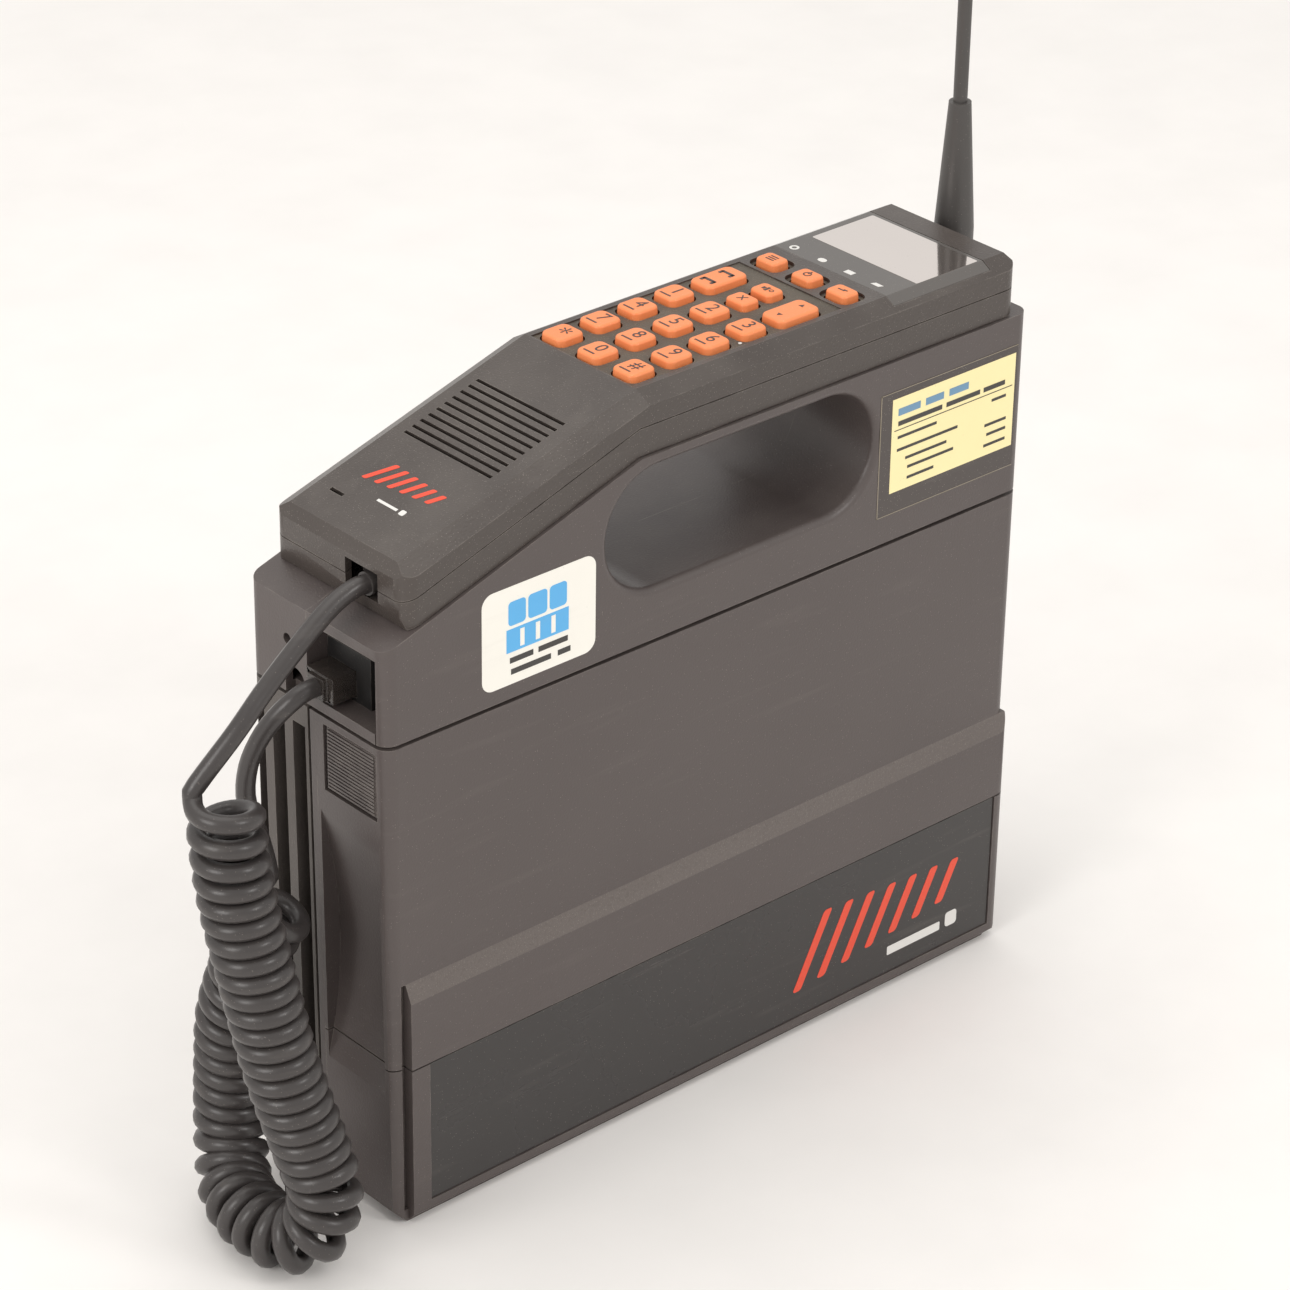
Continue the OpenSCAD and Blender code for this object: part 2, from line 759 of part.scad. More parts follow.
module battery_cells() {
    y = (front_y + pack_front_wall + pack_rear_y - pack_back) / 2;
    color([0.20, 0.45, 0.55]) for (z = cell_row_z, i = [0 : cells_per_row - 1])
        translate([(i - (cells_per_row - 1) / 2) * cell_pitch, y, z]) {
            cylinder(h = cell_length - 1.2, r = cell_dia / 2);
            cylinder(h = cell_length, r = cell_dia / 5);
        }
}

// Four plated studs in the back plate
module battery_terminals() {
    color(brass_color) for (i = [0 : contact_count - 1])
        rod_y(contact_x + (i - (contact_count - 1) / 2) * contact_pitch,
              pack_rear_y - pack_back - 1.5, pack_rear_y - 1, contact_z, contact_pin_r + 0.9);
}

rib_count = 17;
rib_h = 0.6;
rib_out = 0.5;
spring_room = 1;                // thickness left for the pressed spring
leaf_half = 8;                  // half the height of the bowed leaf spring
leaf_w = 6;
leaf_t = 0.4;
leaf_rise = button_travel + spring_room - 0.1;
leaf_r = (leaf_half * leaf_half + leaf_rise * leaf_rise) / (2 * leaf_rise);

module release_button() {
    color(housing_color) {
        box([near_x + rib_out + 0.2, button_y - button_width / 2, button_z - button_height / 2],
            [near_x + button_t, button_y + button_width / 2, button_z + button_height / 2]);
        for (i = [0 : rib_count - 1])
            let (z = button_z + (i - (rib_count - 1) / 2) * button_height / (rib_count + 0.4))
            box([near_x + 0.2, button_y - button_width / 2 + 0.6, z - rib_h / 2],
                [near_x + rib_out + 0.3, button_y + button_width / 2 - 0.6, z + rib_h / 2]);
    }
}

// Bowed leaf that pushes the button back out
module release_spring() {
    x = near_x + button_t + 0.1;
    color(metal_color) intersection() {
        difference() {
            rod_y(x + leaf_r, button_y - leaf_w / 2, button_y + leaf_w / 2, button_z, leaf_r);
            rod_y(x + leaf_r, button_y - leaf_w, button_y + leaf_w, button_z, leaf_r - leaf_t);
        }
        box([x - past, button_y - leaf_w, button_z - 2 * leaf_half],
            [x + leaf_rise, button_y + leaf_w, button_z + 2 * leaf_half]);
    }
}

// ---- handset --------------------------------------------------------------

under_z = deck_height + deck_gap;            // underside of the level part
top_z = under_z + handset_thick;             // top of the level part
part_z = under_z + 8.6;                      // joint between the two shells
bevel_top_x = bend_x + 3;                    // where the top face bends
under_at_near = under_z - slope * (bend_x - handset_near);
top_at_near = top_z - top_slope * (bevel_top_x - handset_near);
top_slope_angle = atan(top_slope);
handset_corner_r = 5;

// Side view of the whole handset
module handset_outline(t = 0) {
    polygon([[handset_near + 1.5 + t, under_at_near + t + slope * (1.5 + t)],
             [bend_x, under_z + t],
             [handset_far - 2.5 - t, under_z + t],
             [handset_far - t, under_z + 4],
             [handset_far - t, top_z - 3],
             [handset_far - 1.5 - t, top_z - t],
             [bevel_top_x, top_z - t],
             [handset_near + 2 + t, top_at_near - t + top_slope * (2 + t)],
             [handset_near + t, top_at_near - 3.5],
             [handset_near + t, under_at_near + 5]]);
}

// What a long top bevel takes away, for the level part and the sloping part
module bevel_cut(t) {
    half = handset_width / 2;
    rise = bevel_h / bevel_w;
    for (s = [-1, 1], tilt = [0, top_slope_angle])
        translate([tilt > 0 ? bevel_top_x + 0.2 : bevel_top_x, 0, top_z - t]) rotate([0, -tilt, 0])
            along_x(-160, 160)
                polygon([[s * (half - bevel_w - t - 3), 3 * rise], [s * (half - bevel_w - t - 3), 15],
                         [s * (half + 2), 15], [s * (half + 2), -rise * (bevel_w + 2 + t)]]);
}

// The handset as one solid, drawn in by t for its hollow
module handset_form(t = 0) {
    l = handset_far - handset_near;
    difference() {
        intersection() {
            along_y(-handset_width / 2 + t, handset_width / 2 - t) handset_outline(t);
            along_z(under_at_near - 10, top_z + 10) translate([(handset_far + handset_near) / 2, 0])
                round_rect(l - 2 * t, handset_width - 2 * t,
                           handset_corner_r - min(t, handset_corner_r - 1));
        }
        bevel_cut(t);
    }
}

// The part of space above or below the joint between the two shells
module above_joint(gap = 0) {
    along_y(-50, 50) polygon([[handset_near - 10, part_z - slope * (bend_x - handset_near + 10) + gap],
                              [bend_x, part_z + gap], [handset_far + 10, part_z + gap],
                              [handset_far + 10, top_z + 20], [handset_near - 10, top_z + 20]]);
}

shell_line = 0.3;               // open line between the shells
key_panel_depth = 0.5;
well_depth = 1.2;               // of the recess round each key of the top row
key_panel_w = 43;
key_col_x = bend_x + 9.9;       // middle of the first row of keys
key_panel_near_x = key_col_x - key_l / 2 - 1.2;
key_r = 2.6;
flange = 0.8;
flange_t = 0.9;
window_far_x = handset_far - 10.2;
window_near_x = window_far_x - 39.6;
window_w = 54;                  // it wraps over the long bevels
window_t = 1.2;
lcd_far_x = window_far_x - 1;
lcd_near_x = lcd_far_x - 28.5;
lcd_w = 42;
grille_slots = 10;
grille_pitch = 2.88;
grille_near_x = bend_x - 43.9;
grille_y = 0.6;
grille_w = 37.4;
grille_slot = 1.1;

// Every key: name, middle along X, middle along Y, length, width
function pad_key(name, col, row) =
    [name, key_col_x + col * key_pitch_x, row * key_pitch_y, key_l, key_w];
small_key_l = 7.2;
small_key_w = 9;
long_key_l = 16.5;
key_gap = 3.55;                 // between the digit block and the long keys
function_x = key_col_x + 3 * key_pitch_x + key_l / 2 + key_gap + long_key_l / 2;
key_panel_far_x = function_x + long_key_l / 2 + 6.2;
top_row_x = key_panel_far_x + 2.8 + small_key_l / 2;
KEYS = [pad_key("star", 0, 1), pad_key("0", 0, 0), pad_key("hash", 0, -1),
        pad_key("7", 1, 1), pad_key("8", 1, 0), pad_key("9", 1, -1),
        pad_key("4", 2, 1), pad_key("5", 2, 0), pad_key("6", 2, -1),
        pad_key("1", 3, 1), pad_key("2", 3, 0), pad_key("3", 3, -1),
        ["call", function_x, key_pitch_y - 0.5, long_key_l, key_w],
        ["clear", function_x - 4.8, -0.6, small_key_l, small_key_w],
        ["hands_free", function_x + 4.8, -0.6, small_key_l, small_key_w],
        ["arrows", function_x, -key_pitch_y - 0.5, long_key_l, key_w],
        ["memory", top_row_x, key_pitch_y - 0.8, small_key_l, small_key_w],
        ["power", top_row_x, -0.6, small_key_l, small_key_w],
        ["send", top_row_x, -key_pitch_y, small_key_l, small_key_w]];
panel_z = top_z - key_panel_depth;
plate_low_z = top_z - shell;
key_corner = [for (k = KEYS) k[3] < key_l ? 1.8 : key_r];
well = 1.6;                     // width of that recess

module handset_top_shell() {
    color(handset_color) difference() {
        union() {
            intersection() {
                difference() {
                    handset_form();
                    handset_form(shell);
                }
                above_joint(shell_line / 2);
            }
            for (p = handset_screw_places) difference() {
                intersection() {
                    translate([p[0], p[1], joint_z(p[0]) + 1])
                        cylinder(h = handset_thick, r = handset_boss_r);
                    handset_form(shell / 2);
                }
                translate([p[0], p[1], joint_z(p[0])]) cylinder(h = 4, r = handset_screw_r);
            }
        }
        box([key_panel_near_x, -key_panel_w / 2, panel_z],
            [key_panel_far_x, key_panel_w / 2, top_z + past]);
        for (i = [0 : len(KEYS) - 1]) let (k = KEYS[i])
            translate([k[1], k[2]]) {
                along_z(plate_low_z - past, top_z + past)
                    round_rect(k[3] + 2 * slide_fit, k[4] + 2 * slide_fit, key_corner[i] + slide_fit);
                if (k[1] > key_panel_far_x)
                    along_z(top_z - well_depth, top_z + past)
                        round_rect(k[3] + 2 * well, k[4] + 2 * well, key_corner[i] + well);
            }
        difference() {
            window_space(0);
            handset_form(window_t);
        }
        box([lcd_near_x, -lcd_w / 2 - seat_fit, plate_low_z - past],
            [lcd_far_x + seat_fit, lcd_w / 2 + seat_fit, top_z]);
        translate([bevel_top_x, 0, top_z]) rotate([0, -top_slope_angle, 0]) {
            for (i = [0 : grille_slots - 1])
                let (x = (grille_near_x - bevel_top_x + i * grille_pitch) / cos(top_slope_angle))
                box([x - grille_slot / 2, grille_y - grille_w / 2, -shell - past],
                    [x + grille_slot / 2, grille_y + grille_w / 2, past]);
            box([mic_x - 0.6, mic_y - 2.8, -shell - past], [mic_x + 0.6, mic_y + 2.8, past]);
        }
        cord_mouth();
    }
}

mic_x = (handset_near + 11.8 - bevel_top_x) / cos(top_slope_angle);
mic_y = 15;
mouth_y0 = -17.2;
mouth_y1 = -3.2;
mouth_h = 8.6;
mouth_low_z = under_at_near + 5;
mouth_depth = 12;
grommet_y = -12;
grommet_z = mouth_low_z + 3.8;
ear_x = handset_far - 31.5;
mouthpiece_x = handset_near + 17;

// Opening for the cord in the near end, shared by both shells
module cord_mouth() {
    box([handset_near - past, mouth_y0, mouth_low_z],
        [handset_near + mouth_depth, mouth_y1, mouth_low_z + mouth_h]);
}

far_screw_x = window_near_x + 7.1;
handset_screw_places = [for (x = [handset_near + 28, far_screw_x], s = [-1, 1]) [x, s * 21.5]];
handset_boss_r = 2.6;
handset_screw_r = 1.2;

// Height of the joint between the shells at place x
function joint_z(x) = x < bend_x ? part_z - slope * (bend_x - x) : part_z;

module handset_bottom_shell() {
    color(handset_color) difference() {
        union() {
            intersection() {
                difference() {
                    handset_form();
                    handset_form(shell);
                }
                difference() {
                    along_z(0, 400) square(400, center = true);
                    above_joint(-shell_line / 2);
                }
            }
            for (p = handset_screw_places)
                translate([p[0], p[1], joint_z(p[0]) - 7.5]) cylinder(h = 6.5, r = handset_boss_r);
        }
        for (p = handset_screw_places)
            translate([p[0], p[1], under_at_near - 5]) cylinder(h = 60, r = handset_screw_r);
        cord_mouth();
        translate([ear_x, 0, under_z - past]) {
            cylinder(h = shell + 2 * past, r = 1);
            for (a = [0 : 60 : 300]) rotate(a) translate([4.5, 0]) cylinder(h = shell + 2 * past, r = 1);
        }
        translate([bend_x, 0, under_z]) rotate([0, -slope_angle, 0])
            for (i = [-1 : 1])
                translate([(mouthpiece_x - bend_x) / cos(slope_angle) + 4 * i, 5, -past])
                    cylinder(h = shell + 2 * past, r = 0.8);
    }
}

module handset_screws() {
    color(metal_color) for (p = handset_screw_places)
        translate([p[0], p[1], joint_z(p[0]) - 6.5]) cylinder(h = 8.5, r = handset_screw_r);
}

key_low_z = plate_low_z - seat_fit - flange_t;
board_top_z = key_low_z - key_travel - 0.3;

// One sprung key: cap with sloping sides and a flange that keeps it in
module key_piece(i) {
    k = KEYS[i];
    r = key_corner[i];
    top = panel_z + key_rise;
    lean = 0.8;
    color(key_color) translate([k[1], k[2]]) {
        intersection() {
            along_z(plate_low_z - seat_fit, top) round_rect(k[3], k[4], r);
            along_y(-20, 20) polygon([[-k[3] / 2, 0], [k[3] / 2, 0], [k[3] / 2, panel_z + 0.6],
                                      [k[3] / 2 - lean, top], [lean - k[3] / 2, top],
                                      [-k[3] / 2, panel_z + 0.6]]);
            along_x(-20, 20) polygon([[-k[4] / 2, 0], [k[4] / 2, 0], [k[4] / 2, panel_z + 0.6],
                                      [k[4] / 2 - lean, top], [lean - k[4] / 2, top],
                                      [-k[4] / 2, panel_z + 0.6]]);
        }
        along_z(key_low_z, plate_low_z - seat_fit)
            round_rect(k[3] + 2 * flange, k[4] + 2 * flange, r + flange);
    }
}

// Board with a rubber contact under every key
module keypad_board() {
    color(board_color)
        box([key_col_x - 6, -handset_width / 2 + shell + 3, board_top_z - board_thick],
            [far_screw_x - handset_boss_r - 0.5, handset_width / 2 - shell - 3, board_top_z]);
}

// Space over the display, drawn in by "gap" on its four sides
module window_space(gap) {
    box([window_near_x + gap, -window_w / 2 + gap, part_z + 2],
        [window_far_x - gap, window_w / 2 - gap, top_z + past]);
}

module display_window() {
    color([0.30, 0.29, 0.28]) difference() {
        intersection() {
            handset_form();
            window_space(seat_fit / 2);
        }
        handset_form(window_t);
    }
}

module lcd_module() {
    color([0.70, 0.72, 0.66])
        box([lcd_near_x + seat_fit, -lcd_w / 2, top_z - window_t - 4],
            [lcd_far_x, lcd_w / 2, top_z - window_t]);
}

module earpiece() {
    color(metal_color) translate([ear_x, 0, under_z + shell]) {
        cylinder(h = 4, r = 12);
        cylinder(h = 5, r = 8);
    }
}

module mouthpiece() {
    color(metal_color) translate([bend_x, 0, under_z]) rotate([0, -slope_angle, 0])
        translate([(mouthpiece_x - bend_x) / cos(slope_angle), 5, shell]) cylinder(h = 3, r = 5);
}

module hands_free_mic() {
    color(metal_color) translate([bevel_top_x, 0, top_z]) rotate([0, -top_slope_angle, 0])
        translate([mic_x, mic_y, -shell - 2.6]) cylinder(h = 2.5, r = 3);
}

module loudspeaker() {
    color([0.30, 0.30, 0.32]) translate([bevel_top_x, 0, top_z]) rotate([0, -top_slope_angle, 0])
        translate([(grille_near_x + 4.5 * grille_pitch - bevel_top_x) / cos(top_slope_angle),
                   grille_y, -shell - 5.1]) {
            cylinder(h = 5, r = 16);
            translate([0, 0, -2.4]) cylinder(h = 2.4, r = 7);
        }
}

// Rubber grommet that grips the cord inside the mouth
module cord_grommet() {
    color(dark_color) {
        box([handset_near + 6, mouth_y0 + seat_fit, mouth_low_z + seat_fit],
            [handset_near + mouth_depth - seat_fit, mouth_y1 - seat_fit, mouth_low_z + mouth_h - seat_fit]);
        rod_x(handset_near, handset_near + 6, grommet_y, grommet_z, cord_r + 0.6);
    }
}

// ---- cord -------------------------------------------------------------------

cord_r = cord_dia / 2;
coil_r = coil_dia / 2;

// Curled part under the handset, from its top down to the middle of the loop on the ground
HANDSET_COIL = [[-167, -18, 152], [-167.5, -21, 130], [-164.5, -25, 103], [-160, -29, 73], [-154, -33, 46],
                [-151.5, -36, 33], [-152, -36, 24.2], [-153.5, -34.3, 17.7], [-155.5, -29.5, 12.9],
                [-157.5, -23, 11.2], [-158, -18, 11.2], [-158, -14, 11.2]];
// Curled part that climbs back towards the plug
PLUG_COIL = [[-158, -14, 11.2], [-158, -10, 11.2], [-156.5, -4, 11.2], [-154, 2.5, 12], [-150.5, 8.5, 16.2],
             [-148, 12, 23], [-146.5, 13.5, 33], [-146, 13, 48], [-146, 11, 64], [-144, 6, 82],
             [-141, 0, 97], [-137, -6, 107]];

// Where a lead meets the open end of a curled part, and the point just before it
function coil_entry(p, i, side) = p[i] + (coil_r - cord_r) * flat_to(side, heading(p, i));
TOP_ENTRY = coil_entry(HANDSET_COIL, 0, [-1, 0, 0]);
TOP_RUN_IN = TOP_ENTRY - 4 * heading(HANDSET_COIL, 0);
LOW_ENTRY = coil_entry(PLUG_COIL, len(PLUG_COIL) - 1, [-1, 1, 0]);
LOW_RUN_IN = LOW_ENTRY + 4 * heading(PLUG_COIL, len(PLUG_COIL) - 1);

// Handset lead: from the grommet to the top of the curls
HANDSET_LEAD = [[handset_near, grommet_y, grommet_z], [handset_near - 4, grommet_y, grommet_z],
                [-126, -12, 196], [-138, -12.8, 188.5],
                [-150, -13.8, 180], [-161, -15, 171.5], [-169.5, -16.2, 164], TOP_RUN_IN, TOP_ENTRY];
// Plug lead: from the upper end of the returning curls to the plug
PLUG_LEAD = [LOW_ENTRY, LOW_RUN_IN, [-141.5, 2.5, 124], [-142.5, 6.5, 134], [-141.5, 6.5, 144],
             [-139.5, 3.5, 153.5], [-136, 0, 161], [-131.5, -2.6, 165.9],
             [plug_near_x - plug_collar - 3, plug_y, plug_low_z + plug_h / 2],
             [plug_near_x - plug_collar, plug_y, plug_low_z + plug_h / 2]];

module modular_plug() {
    color([0.45, 0.42, 0.40, 0.6]) {
        box([plug_near_x, plug_y - plug_w / 2, plug_low_z],
            [plug_near_x + plug_length, plug_y + plug_w / 2, plug_low_z + plug_h]);
        box([plug_near_x - plug_collar, plug_y - 3.4, plug_low_z + 0.6],
            [plug_near_x, plug_y + 3.4, plug_low_z + plug_h - 0.6]);
        box([plug_near_x + latch_start, plug_y - latch_w / 2, plug_low_z - latch_t],
            [plug_near_x + latch_end, plug_y + latch_w / 2, plug_low_z]);
    }
}

module cord_handset_lead() {
    color(dark_color) swept_tube(HANDSET_LEAD, cord_r, 10);
}

module cord_handset_coil() {
    color(dark_color) swept_tube(HANDSET_COIL, coil_r, 12, [1, 0, 0]);
}

module cord_plug_coil() {
    color(dark_color) swept_tube(PLUG_COIL, coil_r, 12, [0, 0, 1]);
}

module cord_plug_lead() {
    color(dark_color) swept_tube(PLUG_LEAD, cord_r, 10, [1, 0, 0]);
}

// ---- what is drawn ------------------------------------------------------------

upper_front_housing();
upper_rear_housing();
interface_board();
jack_socket();
housing_screws();
antenna_connector();
antenna_feed();
antenna_elbow();
antenna_boot();
antenna_whip();
heatsink_case();
shield_lid();
lid_screws();
radio_board();
duplex_filter();
power_contacts();
battery_front_shell();
battery_lower_cover();
battery_back_plate();
battery_cells();
battery_terminals();
label_panel();
release_button();
release_spring();
handset_top_shell();
handset_bottom_shell();
handset_screws();
keypad_board();
display_window();
lcd_module();
earpiece();
mouthpiece();
hands_free_mic();
loudspeaker();
cord_grommet();
modular_plug();
cord_plug_lead();
cord_plug_coil();
cord_handset_coil();
cord_handset_lead();
for (i = [0 : len(KEYS) - 1])
    key_piece(i);
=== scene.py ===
import json
import math
import bmesh
import bpy
from mathutils import Matrix, Vector


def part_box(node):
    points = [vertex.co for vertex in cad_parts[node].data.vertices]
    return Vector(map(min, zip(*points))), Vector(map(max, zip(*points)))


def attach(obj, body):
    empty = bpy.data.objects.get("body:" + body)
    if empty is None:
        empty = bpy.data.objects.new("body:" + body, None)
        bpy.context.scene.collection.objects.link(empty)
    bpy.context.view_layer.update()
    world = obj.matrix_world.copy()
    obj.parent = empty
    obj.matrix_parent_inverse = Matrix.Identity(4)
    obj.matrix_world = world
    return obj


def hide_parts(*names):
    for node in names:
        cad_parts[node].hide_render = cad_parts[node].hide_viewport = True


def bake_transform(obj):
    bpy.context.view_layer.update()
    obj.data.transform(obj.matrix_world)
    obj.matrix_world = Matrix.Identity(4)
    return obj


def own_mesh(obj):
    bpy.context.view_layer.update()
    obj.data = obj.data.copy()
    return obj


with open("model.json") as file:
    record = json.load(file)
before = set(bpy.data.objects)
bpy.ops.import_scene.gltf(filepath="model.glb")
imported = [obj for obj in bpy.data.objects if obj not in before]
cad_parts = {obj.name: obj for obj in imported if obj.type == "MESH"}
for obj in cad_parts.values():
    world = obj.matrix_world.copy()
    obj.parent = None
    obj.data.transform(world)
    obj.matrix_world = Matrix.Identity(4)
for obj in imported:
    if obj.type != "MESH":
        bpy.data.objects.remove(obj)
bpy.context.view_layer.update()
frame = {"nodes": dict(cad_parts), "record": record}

MM = 0.001


# ---- the camera, the floor and the light --------------------------------------

CAMERA_AT = (-0.7574, -0.8378, 0.7570)
AZIMUTH, TILT, ROLL = (math.radians(angle) for angle in (42.05, 28.86, 0.877))
TELEPHOTO, SENSOR = 122.95, 36      # focal length and sensor width in millimetres


def place_camera():
    """A long lens that looks down at the telephone's near end and label side."""
    look = Vector((math.sin(AZIMUTH) * math.cos(TILT), math.cos(AZIMUTH) * math.cos(TILT), -math.sin(TILT)))
    right = Vector((math.cos(AZIMUTH), -math.sin(AZIMUTH), 0))
    up = right.cross(look)
    side = math.cos(ROLL) * right + math.sin(ROLL) * up
    top = math.cos(ROLL) * up - math.sin(ROLL) * right
    turn = Matrix((side, top, -look)).transposed().to_4x4()
    lens = bpy.data.cameras.new("camera")
    lens.lens, lens.sensor_width = TELEPHOTO, SENSOR
    lens.clip_start, lens.clip_end = 0.05, 20
    camera = bpy.data.objects.new("camera", lens)
    camera.matrix_world = Matrix.Translation(CAMERA_AT) @ turn
    bpy.context.scene.collection.objects.link(camera)
    bpy.context.scene.camera = camera


def area_light(name, at, aim, size, power, tint):
    """A square lamp, aimed at a point."""
    data = bpy.data.lights.new(name, "AREA")
    data.shape, data.size, data.energy, data.color = "SQUARE", size, power, tint
    light = bpy.data.objects.new(name, data)
    light.location = at
    light.rotation_euler = (Vector(aim) - Vector(at)).to_track_quat("-Z", "Y").to_euler()
    bpy.context.scene.collection.objects.link(light)


def light_the_table():
    """A pale surround, and soft light from above, from the left and from the front."""
    world = bpy.data.worlds.new("studio")
    world.use_nodes = True
    world.node_tree.nodes["Background"].inputs["Color"].default_value = (1.0, 0.985, 0.965, 1)
    world.node_tree.nodes["Background"].inputs["Strength"].default_value = 0.82
    bpy.context.scene.world = world
    area_light("overhead", (0.0, 0.3, 1.7), (0, 0, 0.1), 1.4, 7, (1.0, 0.98, 0.95))
    area_light("left", (-1.6, -0.2, 0.9), (0, 0, 0.1), 0.8, 10, (1.0, 0.98, 0.96))
    area_light("front", (0.42, -1.35, 1.15), (0, 0, 0.12), 0.4, 5, (1.0, 0.985, 0.97))
    bpy.context.scene.view_settings.view_transform = "Standard"


def lay_the_floor():
    """The pale table, far past the view, which isn't a part of the object."""
    floor = bmesh.new()
    bmesh.ops.create_grid(floor, x_segments=1, y_segments=1, size=3)
    mesh = bpy.data.meshes.new("table")
    floor.to_mesh(mesh)
    floor.free()
    mesh.materials.append(plastic("table top", (246, 243, 240), roughness=0.6, depth=0.0, edge_wear_and_highlight=0, scuff=0,
                                  specks=0, film=0))
    table = bpy.data.objects.new("table", mesh)
    bpy.context.scene.collection.objects.link(table)


# ---- small helpers for meshes ---------------------------------------------------

def new_object(name, shape, body, *nodes):
    """A finished mesh as a named piece that rides on a body and stands for CAD nodes."""
    mesh = bpy.data.meshes.new(name)
    shape.to_mesh(mesh)
    shape.free()
    return adopt(bpy.data.objects.new(name, mesh), body, *nodes)


def adopt(piece, body, *nodes):
    """Links a piece, makes it ride on a body and lets it stand for CAD nodes."""
    if piece.name not in bpy.context.scene.collection.objects:
        bpy.context.scene.collection.objects.link(piece)
    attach(piece, body)
    if nodes:
        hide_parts(*nodes)
    return piece


def smooth_but_sharp(shape, angle=38):
    """Smooth faces, with the edges past an angle kept sharp."""
    for face in shape.faces:
        face.smooth = True
    for edge in shape.edges:
        edge.smooth = not (len(edge.link_faces) == 2 and edge.calc_face_angle(0) > math.radians(angle))


def even_normals(piece):
    """Shading that keeps large flat faces flat beside their rounded edges."""
    weighted = piece.modifiers.new("even_normals", "WEIGHTED_NORMAL")
    weighted.keep_sharp = True
    return piece


def body_of_node(node):
    """The body that a CAD node belongs to."""
    for name, group in frame["record"]["behaviour"]["bodies"].items():
        if node in group:
            return name


def copy_of(node):
    """A welded copy of a CAD node's mesh, its flat faces whole again."""
    shape = bmesh.new()
    shape.from_mesh(frame["nodes"][node].data)
    bmesh.ops.remove_doubles(shape, verts=shape.verts, dist=2e-6)
    bmesh.ops.dissolve_limit(shape, angle_limit=math.radians(0.6), verts=shape.verts, edges=shape.edges)
    return shape


def raised(shape, height):
    """Gives flat faces a thickness, and returns the corners of their upper side."""
    geometry = bmesh.ops.extrude_face_region(shape, geom=shape.faces[:])["geom"]
    top = [v for v in geometry if isinstance(v, bmesh.types.BMVert)]
    bmesh.ops.translate(shape, vec=(0, 0, height), verts=top)
    return top


def pour(part, shape):
    """Adds one mesh in the making to another, and frees it."""
    bmesh.ops.recalc_face_normals(part, faces=part.faces)
    held = bpy.data.meshes.new("held")
    part.to_mesh(held)
    part.free()
    shape.from_mesh(held)
    bpy.data.meshes.remove(held)


def mesh_of_curve(name, curve):
    """The mesh of a curve or of text, which it replaces."""
    holder = bpy.data.objects.new(name, curve)
    bpy.context.scene.collection.objects.link(holder)
    mesh = bpy.data.meshes.new_from_object(holder.evaluated_get(bpy.context.evaluated_depsgraph_get()))
    bpy.data.objects.remove(holder)
    return mesh


def round_edges(shape, wanted, width, segments):
    """Rounds the wanted edges that have a face on both sides."""
    edges = [e for e in shape.edges if len(e.link_faces) == 2 and wanted(e)]
    if edges:
        bmesh.ops.bevel(shape, geom=edges, offset=width, segments=segments, profile=0.5,
                        affect="EDGES", material=-1, clamp_overlap=True)


def sharper_than(angle):
    return lambda e: e.calc_face_angle(0) > math.radians(angle)


def softened(node, width, segments=2, angle=30, first=()):
    """A CAD node again with its edges rounded; first lists (which edges, width, segments) done before."""
    shape = copy_of(node)
    for wanted, wide, steps in first:
        round_edges(shape, wanted, wide, steps)
    if width:
        round_edges(shape, sharper_than(angle), width, segments)
    smooth_but_sharp(shape)
    return even_normals(new_object(node + "_finished", shape, body_of_node(node), node))


# ---- printed and stuck-on things ---------------------------------------------------

def facing(at, right, up):
    """The place of a flat thing: its middle, its right and its up."""
    right, up = Vector(right).normalized(), Vector(up).normalized()
    out = right.cross(up)
    return Matrix.Translation(Vector(at)) @ Matrix((right, up, out)).transposed().to_4x4()


def add_plate(shape, x, y, width, height, thick, corner=0.0, slant=0.0, lift=0.0):
    """One thin plate, its middle at x, y, added to a mesh that lies flat."""
    plate = bmesh.new()
    bmesh.ops.create_grid(plate, x_segments=1, y_segments=1, size=0.5)
    bmesh.ops.scale(plate, vec=(width, height, 1), verts=plate.verts)
    if corner:
        bmesh.ops.bevel(plate, geom=plate.verts[:], offset=corner, segments=6, profile=0.5,
                        affect="VERTICES", material=-1)
    raised(plate, thick)
    lean = Matrix.Identity(4)
    lean[0][1] = slant
    bmesh.ops.transform(plate, matrix=Matrix.Translation((x, y, lift)) @ lean, verts=plate.verts)
    pour(plate, shape)


def add_ring(shape, x, y, radius, line, thick):
    """A flat ring, its line drawn inwards from its radius."""
    ring = bmesh.new()
    bmesh.ops.create_circle(ring, segments=32, radius=radius)
    turned = bmesh.ops.extrude_edge_only(ring, edges=ring.edges[:])["geom"]
    inner = [v for v in turned if isinstance(v, bmesh.types.BMVert)]
    bmesh.ops.scale(ring, vec=(1 - line / radius,) * 2 + (1,), verts=inner)
    raised(ring, thick)
    bmesh.ops.translate(ring, vec=(x, y, 0), verts=ring.verts)
    pour(ring, shape)


def add_sign(shape, sign, x, y, size, thick):
    """A single figure or sign as a thin raised print."""
    curve = bpy.data.curves.new("sign", "FONT")
    curve.body, curve.size, curve.extrude, curve.resolution_u = sign, size, thick / 2, 3
    curve.align_x, curve.align_y = "CENTER", "CENTER"
    mesh = mesh_of_curve("sign", curve)
    mesh.transform(Matrix.Translation((x, y, thick / 2)))
    shape.from_mesh(mesh)
    bpy.data.meshes.remove(mesh)


def paint(piece, slot, chosen):
    """Gives the chosen faces of a piece a second finish."""
    piece.data.materials.append(finish_for(slot))
    last = len(piece.data.materials) - 1
    for face in piece.data.polygons:
        if chosen(face):
            face.material_index = last


